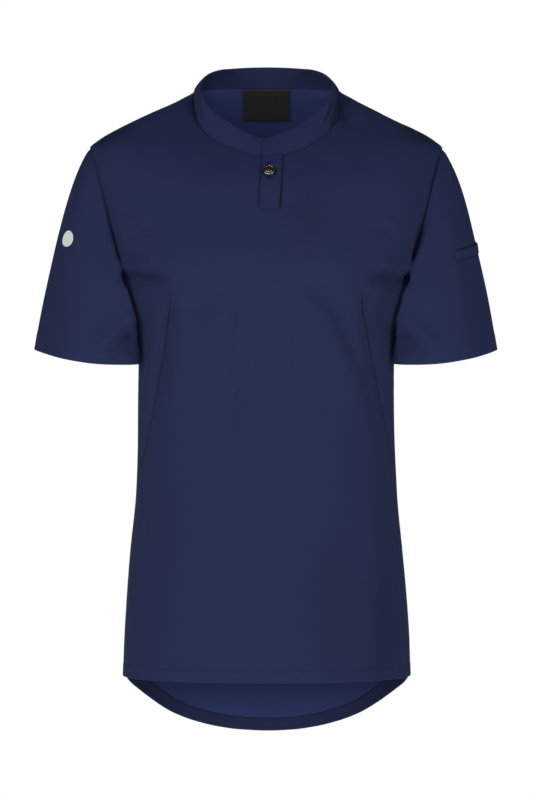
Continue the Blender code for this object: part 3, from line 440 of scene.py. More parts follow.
def sleeve_form(around, down):
    """The left sleeve at shares around (0 underarm, 0.5 shoulder tip) and down (0 armhole, 1 hem)."""
    around, down = np.broadcast_arrays(np.asarray(around, float), np.asarray(down, float))
    lift = 1 - np.abs(2 * around - 1)
    start = np.where((around <= 0.5)[..., None], armhole_form(lift, FRONT)[0], armhole_form(lift, BACK)[0])
    turn = column(SLEEVE, "around")
    hem, leave, arrive = (cubic(turn, column(SLEEVE, name), around, rounded=True)
                          for name in ("hem", "leave", "arrive"))
    t = down[..., None]
    return ((1 + 2 * t) * (1 - t) ** 2 * start + t * (1 - t) ** 2 * leave
            + t * t * (3 - 2 * t) * hem + t * t * (t - 1) * arrive)


def sleeve_normal(around, down):
    step = 0.004
    ahead = sleeve_form((around + step) % 1.0, down) - sleeve_form((around - step) % 1.0, down)
    lower = sleeve_form(around, down + step) - sleeve_form(around, down - step)
    return unit(np.cross(lower, ahead))


def sleeve_place(x, z):
    """Shares around and down of the point of the sleeve's front that is seen at (x, z)."""
    around, down = np.meshgrid(np.linspace(0.12, 0.50, 96), np.linspace(0.05, 1.0, 120))
    points = sleeve_form(around, down)
    near = np.argmin((points[..., 0] - x) ** 2 + (points[..., 2] - z) ** 2)
    return around.flat[near], down.flat[near]


def sleeve_down(around, z):
    """The share down at which the sleeve reaches a height, for each share around."""
    down = np.linspace(0.05, 1, 160)
    return np.array([np.interp(-height, -sleeve_form(turn, down)[:, 2], down) for turn, height in zip(around, z)])


def seam_normal(around):
    """The normal that body and sleeve share along the left armhole."""
    lift = 1 - np.abs(2 * around - 1)
    body = np.where((around <= 0.5)[..., None], armhole_form(lift, FRONT)[1], armhole_form(lift, BACK)[1])
    both = body + sleeve_normal(around, np.full(around.shape, 0.03))
    step = 0.004
    along = unit(sleeve_form((around + step) % 1.0, 0 * around) - sleeve_form((around - step) % 1.0, 0 * around))
    return unit(both - along * np.sum(both * along, -1, keepdims=True))


# ---------------------------------------------------------------- folds and the fall of the cloth

def fold_routes(body_folds, sleeve_folds, left_folds=()):
    """Every fold as points in space, evenly along it, with its width and depth."""
    found = []
    steps = np.linspace(0, 1, FOLD_STEPS + 1)
    for fold in body_folds:
        route = cubic(np.linspace(0, 1, len(fold.route)), fold.route, steps, rounded=True)
        found.append((body_form(route[:, 0], route[:, 1], fold.side)[0], fold.width, fold.depth))
    for fold in sleeve_folds:
        route = cubic(np.linspace(0, 1, len(fold.route)), fold.route, steps, rounded=True)
        left = sleeve_form(route[:, 0], route[:, 1])
        found.append((left, fold.width, fold.depth))
        found.append((mirrored(left), fold.width, fold.depth))
    for fold in left_folds:
        route = cubic(np.linspace(0, 1, len(fold.route)), fold.route, steps, rounded=True)
        found.append((sleeve_form(route[:, 0], route[:, 1]), fold.width, fold.depth))
    return found


def crease_marks(points, creases):
    """Distance out from the nearest crease, counted in its widths, and how deep its painted shade and dent are there.
    """
    flat = points.reshape(-1, 3)
    line, depth, nearest = np.full(len(flat), FAR), np.zeros(len(flat)), np.full(len(flat), CREASE_FIELD)
    for route, crease in creases:
        start, run = route[:-1], np.diff(route, axis=0)
        offset = flat[:, None, :] - start[None]
        along = np.clip(np.sum(offset * run, -1) / np.sum(run * run, -1), 0, 1)
        away = np.linalg.norm(offset - along[..., None] * run, axis=-1)
        best = np.argmin(away, axis=1)
        pick = np.arange(len(flat))
        near, place = away[pick, best], (best + along[pick, best]) / len(run)
        turn = run[best, 0] * offset[pick, best, 2] - run[best, 2] * offset[pick, best, 0]
        closer = near < nearest
        nearest[closer] = near[closer]
        line[closer] = (np.sign(turn * route[0, 0]) * near / crease.width)[closer]
        strength = (crease.start + (crease.end - crease.start) * place) * smooth(np.minimum(place, 1 - place) * 7)
        depth[closer] = (strength * (near < CREASE_REACH))[closer]
    return line.reshape(points.shape[:-1]), depth.reshape(points.shape[:-1])


def front_creases():
    steps = np.linspace(0, 1, FOLD_STEPS + 1)
    found = []
    for crease in FRONT_CREASES:
        route = cubic(np.linspace(0, 1, len(crease.route)), crease.route, steps, rounded=True)
        found.append((body_form(route[:, 0], route[:, 1], FRONT)[0], crease))
    return found


def armhole_shade_depth(lift, wearers_left, front):
    """How strongly the armhole seam is drawn in painted shade and a dent: most on the front of the wearer's left side.
    """
    if wearers_left and front:
        return 1.0 * smooth((0.92 - lift) / 0.12)
    return 0.25 * smooth((0.90 - lift) / 0.2)


def spread(points, routes):
    """The depth of some folds at each point, with soft ends and a soft section across."""
    flat = points.reshape(-1, 3)
    total = np.zeros(len(flat))
    for route, width, depth in routes:
        low, high = route.min(axis=0) - 3 * width, route.max(axis=0) + 3 * width
        near = np.flatnonzero(np.all((flat >= low) & (flat <= high), axis=1))
        if not len(near):
            continue
        start, run = route[:-1], np.diff(route, axis=0)
        offset = flat[near, None, :] - start[None]
        along = np.clip(np.sum(offset * run, -1) / np.sum(run * run, -1), 0, 1)
        away = np.linalg.norm(offset - along[..., None] * run, axis=-1)
        best = np.argmin(away, axis=1)
        pick = np.arange(len(near))
        place = (best + along[pick, best]) / FOLD_STEPS
        soft = 0.15 + 0.85 * smooth(np.minimum(place, 1 - place) * 4)
        total[near] += depth * soft * np.exp(-((away[pick, best] / width) ** 2))
    return total.reshape(points.shape[:-1])


def relief(points):
    """How far the folds move each point out."""
    return spread(points, ROUTES)


def painted_shade_at(points):
    """How much painted shade darkens the pinched places."""
    return np.minimum(spread(points, PAINTED_SHADE_ROUTES), PAINTED_SHADE_MOST)


Wave = namedtuple("Wave", "length_x length_y length_z phase height")
WAVES = (
    Wave(0.210, 0.330, 0.390, 0.4, 0.00060),
    Wave(0.127, -0.260, 0.310, 2.1, 0.00035),
    Wave(-0.083, 0.190, 0.170, 4.0, 0.00022),
    Wave(0.061, 0.110, -0.230, 1.2, 0.00014),
)


def fall(points):
    """The shallow, uneven waviness that hanging cloth keeps between its folds."""
    total = 0
    for wave in WAVES:
        turn = points[..., 0] / wave.length_x + points[..., 1] / wave.length_y + points[..., 2] / wave.length_z
        total = total + wave.height * np.sin(2 * math.pi * turn + wave.phase)
    return total


def ripple(along, pitch=0.011):
    """Small uneven puckers along a row of sewing, from -1 to 1."""
    return (np.sin(2 * math.pi * along / pitch) + np.sin(2 * math.pi * along / (pitch * 1.57) + 1.3)
            + np.sin(2 * math.pi * along / (pitch * 0.63) + 0.4)) / 3


def dip(distance, depth, reach):
    return -depth * np.exp(-((distance / reach) ** 2))


def rounded_edge(distance, radius, least=0.12):
    """Share of the full thickness left at a distance in from a free edge."""
    short = 1 - np.clip(distance / radius, 0, 1)
    return least + (1 - least) * np.sqrt(1 - short * short)


# ---------------------------------------------------------------- meshes

def add_mesh(name, vertices, faces, finish, uv=None, marks=None):
    mesh = bpy.data.meshes.new(name)
    mesh.from_pydata(np.asarray(vertices).tolist(), [], faces)
    mesh.materials.append(finish)
    mesh.shade_smooth()
    corners = np.empty(len(mesh.loops), dtype=np.int32)
    mesh.loops.foreach_get("vertex_index", corners)
    if uv is not None:
        layer = mesh.uv_layers.new(name="cloth")
        layer.uv.foreach_set("vector", uv[corners].astype(np.float32).ravel())
    for key, values in (marks or {}).items():
        layer = mesh.attributes.new(key, "FLOAT", "POINT")
        layer.data.foreach_set("value", values.astype(np.float32))
    mesh.validate()
    made = bpy.data.objects.new(name, mesh)
    bpy.context.scene.collection.objects.link(made)
    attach(made, "root")
    return made


def shell(name, outer, inner, finish, wear=0.0, left_out=(), flip=False, crease=(FAR, 0.0), reverse=1.0,
          hollow=0.0):
    """A closed thin wall between two grids; UVs are metres along the cloth."""
    rows, columns = outer.shape[:2]
    count = rows * columns
    index = np.arange(count).reshape(rows, columns)
    quads = np.stack([index[:-1, :-1], index[:-1, 1:], index[1:, 1:], index[1:, :-1]], -1)
    keep = np.ones((rows - 1, columns - 1), bool)
    for r, c in left_out:
        keep[r, c] = False
    cells = quads[keep]
    if flip:
        cells = cells[:, ::-1]
    sides = np.concatenate([cells[:, (k, (k + 1) % 4)] for k in range(4)])
    known = set(map(tuple, sides.tolist()))
    rim = [(b, a, a + count, b + count) for a, b in sides.tolist() if (b, a) not in known]
    faces = cells.tolist() + (cells[:, ::-1] + count).tolist() + rim
    used = np.unique(np.concatenate([np.array(face) for face in (cells.ravel(), cells.ravel() + count)]))
    place = np.full(2 * count, -1)
    place[used] = np.arange(len(used))
    faces = [[int(place[i]) for i in face] for face in faces]
    points = np.concatenate([outer.reshape(-1, 3), inner.reshape(-1, 3)])
    across = lengths(outer, 1)
    across = across - across[:, columns // 2][:, None]
    uv = np.stack([across, lengths(outer, 0)], -1).reshape(-1, 2)
    marks = {key: np.tile(np.broadcast_to(value, (rows, columns)).reshape(-1), 2)[used]
             for key, value in (("wear", wear), ("crease", crease[0]), ("crease_shade_depth", crease[1]),
                                ("hollow", hollow))}
    marks["reverse"] = np.repeat([0.0, reverse], count)[used]
    return add_mesh(name, points[used], faces, finish, np.tile(uv, (2, 1))[used], marks)


Spindle = namedtuple("Spindle", "place width height")
SPINDLE = (Spindle(-1.0, 0.0, -0.6), Spindle(-0.72, 0.8, 0.2), Spindle(0.0, 1.0, 0.6),
           Spindle(0.72, 0.8, 0.2), Spindle(1.0, 0.0, -0.6))
SPINDLE_SIDES = 5


def spindles(centres, tangents, normals, length, radius):
    """Vertices and faces of small threads, one at each centre."""
    beside = np.cross(tangents, normals)
    vertices, faces = [], []
    per = 2 + 3 * SPINDLE_SIDES
    turn = np.arange(SPINDLE_SIDES) * 2 * math.pi / SPINDLE_SIDES
    for k, ring in enumerate(SPINDLE):
        middle = centres + tangents * length / 2 * ring.place + normals * radius * ring.height
        if ring.width == 0:
            vertices.append(middle[:, None])
        else:
            circle = (np.cos(turn)[None, :, None] * beside[:, None] + np.sin(turn)[None, :, None]
                      * normals[:, None]) * radius * ring.width
            vertices.append(middle[:, None] + circle)
    vertices = np.concatenate(vertices, axis=1).reshape(-1, 3)
    last = per - 1
    for k in range(SPINDLE_SIDES):
        n = (k + 1) % SPINDLE_SIDES
        faces.append([0, 1 + n, 1 + k])
        for ring in range(2):
            a = 1 + ring * SPINDLE_SIDES
            faces.append([a + k, a + n, a + n + SPINDLE_SIDES, a + k + SPINDLE_SIDES])
        end = 1 + 2 * SPINDLE_SIDES
        faces.append([last, end + k, end + n])
    every = [[i + per * spindle for i in face] for spindle in range(len(centres)) for face in faces]
    return vertices, every


def along_line(points, normals, pitch):
    """Centres, directions and normals of stitches spaced evenly along a line."""
    run = lengths(points, 0)
    at = np.arange(pitch / 2, run[-1], pitch)
    where = [np.stack([np.interp(at + shift, run, points[:, k]) for k in range(3)], -1)
             for shift in (-pitch / 4, 0, pitch / 4)]
    normal = unit(np.stack([np.interp(at, run, normals[:, k]) for k in range(3)], -1))
    tangent = unit(where[2] - where[0])
    normal = unit(normal - tangent * np.sum(normal * tangent, -1, keepdims=True))
    return where[1], tangent, normal


def sewing(name, lines, finish):
    """One object of all the stitches along some lines of points and normals."""
    vertices, faces = [], []
    for points, normals in lines:
        made, cells = spindles(*along_line(points, normals, PITCH), STITCH_LENGTH, THREAD_RADIUS)
        first = sum(len(v) for v in vertices)
        vertices.append(made)
        faces += [[i + first for i in face] for face in cells]
    return add_mesh(name, np.concatenate(vertices), faces, finish)


def turned(name, profile, base, axis, finish, segments=96):
    """A solid turned about an axis; the profile is (radius, height), first and last on the axis."""
    side = unit(np.cross(axis, (0.0, 0.0, 1.0)))
    up = np.cross(side, axis)
    turn = np.arange(segments) * 2 * math.pi / segments
    ring = np.cos(turn)[:, None] * side + np.sin(turn)[:, None] * up
    inner = [base + axis * height + ring * radius for radius, height in profile[1:-1]]
    vertices = np.concatenate([[base + axis * profile[0][1]], *inner, [base + axis * profile[-1][1]]])
    last = len(vertices) - 1
    faces = []
    for k in range(segments):
        n = (k + 1) % segments
        faces.append([0, 1 + k, 1 + n])
        for loop in range(len(inner) - 1):
            a, b = 1 + loop * segments, 1 + (loop + 1) * segments
            faces.append([a + k, b + k, b + n, a + n])
        end = 1 + (len(inner) - 1) * segments
        faces.append([last, end + n, end + k])
    return add_mesh(name, vertices, faces, finish)


# ---------------------------------------------------------------- materials

class Nodes:
    """A material's nodes, written as short calls."""

    def __init__(self, name):
        self.material = bpy.data.materials.new(name)
        self.material.use_nodes = True
        self.tree = self.material.node_tree
        self.shader = self.tree.nodes["Principled BSDF"]

    def add(self, kind, inputs=None, **settings):
        made = self.tree.nodes.new(kind)
        for key, value in settings.items():
            setattr(made, key, value)
        for key, value in (inputs or {}).items():
            self.put(made.inputs[key], value)
        return made

    def put(self, socket, value):
        if isinstance(value, bpy.types.NodeSocket):
            self.tree.links.new(value, socket)
        else:
            socket.default_value = value

    def math(self, operation, *values):
        made = self.add("ShaderNodeMath", operation=operation)
        for socket, value in zip(made.inputs, values):
            self.put(socket, value)
        return made.outputs[0]

    def noise(self, scale, detail, source, name="Fac"):
        made = self.add("ShaderNodeTexNoise", {"Vector": source, "Scale": scale, "Detail": detail})
        return made.outputs[name]

    def remap(self, value, low, high, source=(0.0, 1.0)):
        made = self.add("ShaderNodeMapRange", {"Value": value, "From Min": source[0], "From Max": source[1],
                                               "To Min": low, "To Max": high})
        return made.outputs["Result"]


YARN = 0.00042  # width of a yarn
REVERSE_PALE_AND_PAINTED_LIGHT = 2.00  # the wrong side of the twill is paler; most of this lift is painted light on the shaded inside


def woven(name, colour, roughness, sheen=0.05, yarn=YARN, depth=0.00010, ribbed=False):
    """Twill cloth: yarns at their real size, uneven dye, paler worn edges, a paler wrong side that is mostly painted
    light, and painted shade in creases, seams and pinched places.
    """
    m = Nodes(name)
    uv = m.add("ShaderNodeUVMap", uv_map="cloth").outputs["UV"]
    split = m.add("ShaderNodeSeparateXYZ", {"Vector": uv})
    across = m.math("DIVIDE", split.outputs["X"], yarn)
    along = m.math("DIVIDE", split.outputs["Y"], yarn)
    warp = m.math("SINE", m.math("MULTIPLY", m.math("FRACT", across), math.pi))
    weft = m.math("SINE", m.math("MULTIPLY", m.math("FRACT", along), math.pi))
    steps = m.math("ADD", m.math("FLOOR", across), m.math("FLOOR", along))
    over = m.math("LESS_THAN", m.math("FRACT", m.math("DIVIDE", steps, 2.0 if ribbed else 3.0)), 0.6)
    top = m.math("MULTIPLY", warp, over)
    under = m.math("MULTIPLY", m.math("MULTIPLY", weft, 0.75), m.math("SUBTRACT", 1.0, over))
    weave = m.math("ADD", top, under)

    place = m.add("ShaderNodeTexCoord").outputs["Object"]
    cloudy = m.noise(9.0, 3.0, place)
    stretched = m.add("ShaderNodeMapping", {"Vector": uv, "Scale": (1 / (yarn * 3), 1 / (yarn * 60), 1.0)})
    streaks = m.noise(1.0, 2.0, stretched.outputs["Vector"])
    fuzz = m.noise(1 / (yarn * 2), 2.0, place)
    wear = m.add("ShaderNodeAttribute", attribute_name="wear").outputs["Fac"]

    shade = m.math("ADD", m.remap(cloudy, 0.95, 1.05), m.remap(streaks, -0.05, 0.05))
    shade = m.math("ADD", shade, m.remap(fuzz, -0.04, 0.04))
    shade = m.math("ADD", shade, m.remap(weave, -0.10, 0.05))
    shade = m.math("ADD", shade, m.math("MULTIPLY", wear, m.remap(fuzz, 0.04, 0.30)))
    # a paler wrong side, most of it painted light on the shaded inside
    reverse = m.add("ShaderNodeAttribute", attribute_name="reverse").outputs["Fac"]
    shade = m.math("MULTIPLY", shade, m.remap(reverse, 1.0, REVERSE_PALE_AND_PAINTED_LIGHT))
    # painted shade in pinched and sunken places
    hollow = m.add("ShaderNodeAttribute", attribute_name="hollow").outputs["Fac"]
    shade = m.math("MULTIPLY", shade, m.math("SUBTRACT", 1.0, hollow))
    # painted shade along creases, darts and seams, which also dents the bump
    line = m.add("ShaderNodeAttribute", attribute_name="crease").outputs["Fac"]
    crease_shade_and_dent = m.math("EXPONENT", m.math("MULTIPLY", m.math("MULTIPLY", line, line), -1.0))
    crease_shade_and_dent = m.math("MULTIPLY", crease_shade_and_dent, m.add("ShaderNodeAttribute", attribute_name="crease_shade_depth").outputs["Fac"])
    shade = m.math("MULTIPLY", shade, m.remap(crease_shade_and_dent, 1.0, 0.30))
    tint = m.add("ShaderNodeVectorMath", {0: colour, "Scale": shade}, operation="SCALE")
    m.put(m.shader.inputs["Base Color"], tint.outputs["Vector"])
    m.put(m.shader.inputs["Roughness"], m.remap(cloudy, roughness - 0.05, roughness + 0.05))
    m.put(m.shader.inputs["Sheen Weight"], sheen)
    m.put(m.shader.inputs["Sheen Roughness"], 0.45)
    m.put(m.shader.inputs["Sheen Tint"], (0.45, 0.52, 0.85, 1.0))
    m.put(m.shader.inputs["Specular IOR Level"], 0.20)

    creep = m.noise(55.0, 3.0, place)
    crumple = m.add("ShaderNodeBump", {"Strength": 0.35, "Distance": 0.0009, "Height": creep})
    dent = m.add("ShaderNodeBump", {"Strength": 1.0, "Distance": 0.0012, "Height": m.math("MULTIPLY", crease_shade_and_dent, -1.0),
                                    "Normal": crumple.outputs["Normal"]})
    bump = m.add("ShaderNodeBump", {"Strength": 0.6, "Distance": depth, "Height": weave,
                                    "Normal": dent.outputs["Normal"]})
    m.put(m.shader.inputs["Normal"], bump.outputs["Normal"])
    return m.material


def thread(name, colour):
    """Twisted polyester thread."""
    m = Nodes(name)
    place = m.add("ShaderNodeTexCoord").outputs["Object"]
    fibre = m.noise(4200.0, 2.0, place)
    tint = m.add("ShaderNodeVectorMath", {0: colour, "Scale": m.remap(fibre, 0.75, 1.25)}, operation="SCALE")
    m.put(m.shader.inputs["Base Color"], tint.outputs["Vector"])
    m.put(m.shader.inputs["Roughness"], 0.7)
    m.put(m.shader.inputs["Specular IOR Level"], 0.2)
    bump = m.add("ShaderNodeBump", {"Strength": 0.5, "Distance": 0.00006, "Height": fibre})
    m.put(m.shader.inputs["Normal"], bump.outputs["Normal"])
    return m.material


def hard(name, colour, roughness, metallic=0.0, coat=0.0, speckle=0.15, grain=900.0, depth=0.00002):
    """Metal or plastic with fine unevenness in its colour, gloss and surface."""
    m = Nodes(name)
    place = m.add("ShaderNodeTexCoord").outputs["Object"]
    fine = m.noise(grain, 4.0, place)
    tint = m.add("ShaderNodeVectorMath", {0: colour, "Scale": m.remap(fine, 1 - speckle, 1 + speckle)},
                 operation="SCALE")
    m.put(m.shader.inputs["Base Color"], tint.outputs["Vector"])
    m.put(m.shader.inputs["Roughness"], m.remap(fine, roughness * 0.7, roughness * 1.3))
    m.put(m.shader.inputs["Metallic"], metallic)
    m.put(m.shader.inputs["Coat Weight"], coat)
    m.put(m.shader.inputs["Coat Roughness"], 0.05)
    bump = m.add("ShaderNodeBump", {"Strength": 0.4, "Distance": depth, "Height": fine})
    m.put(m.shader.inputs["Normal"], bump.outputs["Normal"])
    return m.material


NAVY = woven("navy_twill", (0.0138, 0.0208, 0.0722), 0.80)
NAVY_TAPE = woven("navy_tape", (0.0074, 0.0112, 0.0370), 0.80, yarn=0.0005)
LABEL = woven("label_satin", (0.0110, 0.0118, 0.0105), 0.55, sheen=0.05, yarn=0.00022, depth=0.00004, ribbed=True)
THREAD = thread("navy_thread", (0.0075, 0.0110, 0.0380))
BLACK_THREAD = thread("black_thread", (0.0100, 0.0105, 0.0110))
SLIT_SHADOW_SHEET = hard("slit_shadow", (0.0030, 0.0036, 0.0080), 0.9, speckle=0.3)
BRONZE = hard("aged_bronze", (0.5000, 0.4300, 0.3500), 0.20, metallic=1.0, grain=1500.0)
DARK_BROWN = hard("polished_brown", (0.0200, 0.0105, 0.0065), 0.10, coat=1.0, speckle=0.35, grain=420.0)
BADGE_WHITE = hard("badge_rubber", (0.78, 0.78, 0.78), 0.42, speckle=0.03, grain=2600.0, depth=0.00003)

ROUTES = fold_routes(MAIN_FOLDS + SMALL_FOLDS, SLEEVE_FOLDS, LEFT_SLEEVE_FOLDS)
# routes of the painted shade in pinched places
PAINTED_SHADE_ROUTES = fold_routes(PAINTED_SHADE_PLACES, SLEEVE_PAINTED_SHADE_PLACES)


# ---------------------------------------------------------------- the front and the back

def climb(angle):
    """How far a row of points has risen from the centre line to its level outer stretch."""
    share = np.clip(np.abs(angle) / ROW_CLIMB, 0, 1)
    return share**3 * (10 - 15 * share + 6 * share * share)


def row_angles(edge, width):
    """Angles of a row's points; two columns of points follow the sides of the placket's notch."""
    across = np.array(NOTCH_SIDES) / width
    left, right = np.arctan2(across, (1 - np.abs(across) ** ROUND) ** (1 / ROUND))
    share = np.concatenate([EDGE_SHARES, np.linspace(0.05, 1, SIDE_COLUMNS)])
    return np.concatenate([
        -edge + (left + edge) * share,
        np.linspace(left, right, NOTCH_COLUMNS + 1)[1:-1],
        (edge + (right - edge) * share)[::-1],
    ])


def panel_form(side):
    """Rows of points from the hem to the neckline, with their normals and the rows of the armhole."""
    tip_row = TIP_ROW_FRONT_Z if side == FRONT else TIP_ROW_BACK_Z
    neck_row = NECK_FRONT_Z if side == FRONT else NECK_BACK_Z
    xs, zs = [], []
    rest = np.linspace(0, 1, BODY_ROWS + 1)[1:]
    band = HEM_STEPS[-1]
    for step, lift in [(step, 0) for step in HEM_STEPS] + [(band, lift) for lift in rest]:
        width = half_width(FRONT_HEM_Z + (UNDERARM_Z - FRONT_HEM_Z) * lift)
        share = arc(row_angles(QUARTER, width))[0]
        if side == FRONT:
            low = FRONT_HEM_Z + step + 0 * share
        else:
            x = share * TAIL[-1].x
            slope = np.gradient(tail_z(x), x)
            low = tail_z(x) + step * np.sqrt(1 + slope * slope)
        z = low + (UNDERARM_Z - low) * lift
        xs.append(half_width(z) * share)
        zs.append(z)
    first = len(xs) - 1
    for lift in np.linspace(0, 1, ARMHOLE_ROWS + 1)[1:]:
        edge, edge_z = armhole(lift, side)
        centre_z = UNDERARM_Z + (tip_row - UNDERARM_Z) * lift
        angles = row_angles(edge, half_width(edge_z))
        xs.append(half_width(edge_z) * arc(angles)[0])
        zs.append(centre_z + (edge_z - centre_z) * climb(angles))
    for lift in np.linspace(0, 1, SHOULDER_ROWS + 1)[1:]:
        edge_z = TIP_Z + (NECK_SIDE_Z - TIP_Z) * lift
        centre_z = tip_row + (neck_row - tip_row) * lift
        angles = row_angles(QUARTER, half_width(edge_z))
        rise = (neck_z(angles, side) - neck_row) / (NECK_SIDE_Z - neck_row)
        rise = (1 - lift) * climb(angles) + lift * rise
        xs.append(half_width(edge_z) * arc(angles)[0])
        zs.append(centre_z + (edge_z - centre_z) * rise)
    points, normals = body_form(np.array(xs), np.array(zs), side)
    rows = np.arange(first, first + ARMHOLE_ROWS + 1)
    lifts = (rows - first) / ARMHOLE_ROWS
    shared = seam_normal(lifts / 2 if side == FRONT else 1 - lifts / 2)
    normals[rows, -1] = shared
    normals[rows, 0] = mirrored(shared)
    return points, normals, rows


def hem_relief(up, along, depth, stitch):
    """The outer face over a hem: a little proud, drawn in along the stitches, softly puckered."""
    on_hem = 1 - smooth((up - depth + 0.0006) / 0.0012)
    groove = dip(up - stitch, STITCH_GROOVE, GROOVE_REACH)
    pucker = 0.00016 * ripple(along) * np.exp(-(((up - stitch) / 0.006) ** 2))
    return HEM_PROUD * on_hem + groove + pucker


def make_panel(name, node, side, finish):
    """Front or back, with its hem; returns the piece, its outer points, normals and stitch lines."""
    points, normals, rows = panel_form(side)
    run = lengths(points, 1)
    inset = np.minimum(run, run[:, -1:] - run)
    up = lengths(points, 0)
    depth = HEM_DEPTH if side == FRONT else FACING_WIDTH
    stitch = HEM_STITCH if side == FRONT else FACING_STITCH
    out = relief(points) + fall(points)
    out += dip(inset, SEAM_DIP, SEAM_REACH)
    out += 0.00014 * ripple(up, 0.013) * smooth(inset / 0.003) * np.exp(-((inset / 0.006) ** 2))
    crease = crease_marks(points, front_creases() if side == FRONT else [])
    lift = np.clip((np.arange(len(points)) - rows[0]) / ARMHOLE_ROWS, 0, 1)[:, None] + 0 * inset
    # painted shade along the armhole seam
    for wearers_left in (False, True):
        beside = (inset < ARMHOLE_REACH) & ((points[..., 0] > 0) == wearers_left) & (lift > 0) & (lift < 1)
        crease[0][beside] = (inset / ARMHOLE_CREASE)[beside]
        crease[1][beside] = armhole_shade_depth(lift, wearers_left, side == FRONT)[beside]
    out += hem_relief(up, run, depth, stitch)
    outer = points + normals * out[..., None]
    thick = CLOTH + (HEM_EXTRA * (1 - smooth((up - depth) / 0.0006)) if side == FRONT else 0)
    thick = thick + 0 * up
    taper = rounded_edge(up, 0.0008)
    middle = outer - normals * (thick / 2)[..., None]
    half = normals * (thick / 2 * taper)[..., None]
    left_out = ()
    if side == FRONT:
        first = len(EDGE_SHARES) + SIDE_COLUMNS - 1
        left_out = [(r, first + c) for r in range(rows[-1], len(points) - 1) for c in range(NOTCH_COLUMNS)]
    wear = 0.5 * np.exp(-((up / 0.0012) ** 2)) + 0.12 * np.exp(-((inset / 0.0015) ** 2))
    # painted shade in pinched places goes on both faces
    made = shell(name, middle + half, middle - half, finish, wear, left_out, side == BACK, crease,
                 hollow=painted_shade_at(points))
    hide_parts(node)
    line = int(np.argmin(np.abs(np.array(HEM_STEPS) - stitch)))
    lines = [((middle + half)[line], normals[line])]
    return made, outer, normals, lines


# ---------------------------------------------------------------- sleeves

WELT_CREASE = Crease(0.0011, 0.7, 1.0, ())
WELT_SIDE_CREASE = Crease(0.0008, 0.8, 0.8, ())


def welt_turns(count):
    around, _ = sleeve_place(*WELT_START)
    return around, np.linspace(around, WELT_END_AROUND, count)


def welt_line(share):
    """A line along the welt of the pen pocket: share 1 is its upper edge, -1 its lower one."""
    around, turn = welt_turns(FOLD_STEPS + 1)
    middle = WELT_START[1] + WELT_CLIMB * (turn - around) / (WELT_END_AROUND - around)
    return sleeve_form(turn, sleeve_down(turn, middle + WELT_HALF_HEIGHT * share))


def welt_creases():
    """The shade round the welt: along its open upper edge, its lower edge and its sewn end."""
    above, below = welt_line(1.12), welt_line(-1.12)
    end = below[0] + (above[0] - below[0]) * np.linspace(0, 1, FOLD_STEPS + 1)[:, None]
    return [(above, WELT_CREASE), (below[::-1], WELT_SIDE_CREASE), (end, WELT_SIDE_CREASE)]


def make_sleeve(name, node, mirror, finish):
    turn = np.linspace(0, 1, 2 * ARMHOLE_ROWS + 1)
    extra = np.array([0.0015, 0.004, 0.0075])
    turn = np.sort(np.concatenate([turn, extra, 1 - extra]))
    length = 0.235
    seam_side = np.array([0, .0006, .0014, .0026, .0045, .0075]) / length
    hem_side = 1 - np.array([0, .00015, .0004, .0008, .0016, .004, .008, .012, .015, .0175, .0182, .0188, .0194,
                             .0200, .0208, .022]) / length
    down = np.concatenate([seam_side, np.linspace(0.012 / length, 1 - 0.025 / length, SLEEVE_ROWS), hem_side[::-1]])
    around, down = np.meshgrid(turn, down)
    points = sleeve_form(around, down)
    normals = sleeve_normal(around, down)
    normals[0] = seam_normal(turn)
    if mirror:
        points, normals = mirrored(points), mirrored(normals)
    below = lengths(points, 0)
    above = below[-1:] - below
    run = lengths(points, 1)
    inset = np.minimum(run, run[:, -1:] - run)
    stitch = SLEEVE_HEM - 0.0012
    out = relief(points) + fall(points)
    out += dip(below, SEAM_DIP, SEAM_REACH_SLEEVE) + dip(inset, SEAM_DIP, SEAM_REACH)
    out += 0.00035 * ripple(run, 0.016) * smooth(below / 0.003) * np.exp(-((below / 0.010) ** 2))
    out += hem_relief(above, run, SLEEVE_HEM, stitch)
    outer = points + normals * out[..., None]
    thick = CLOTH + HEM_EXTRA * (1 - smooth((above - SLEEVE_HEM) / 0.0006))
    middle = outer - normals * (thick / 2)[..., None]
    half = normals * (thick / 2 * rounded_edge(above, 0.0008))[..., None]
    wear = 0.5 * np.exp(-((above / 0.0012) ** 2)) + 0.12 * np.exp(-((below / 0.0015) ** 2))
    crease = crease_marks(points, [] if mirror else welt_creases())
    lift = 1 - np.abs(2 * around - 1)
    # painted shade along the armhole seam
    for front in (False, True):
        beside = (below < ARMHOLE_REACH) & ((around < 0.5) == front)
        crease[0][beside] = (below / ARMHOLE_CREASE)[beside]
        crease[1][beside] = armhole_shade_depth(lift, not mirror, front)[beside]
    # painted shade in pinched places goes on both faces
    made = shell(name, middle + half, middle - half, finish, wear, flip=not mirror, crease=crease,
                 hollow=painted_shade_at(points))
    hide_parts(node)
    line = int(np.argmin(np.abs(above[:, 0] - stitch)))
    return made, [((middle + half)[line], normals[line])]


# ---------------------------------------------------------------- collar, placket, button

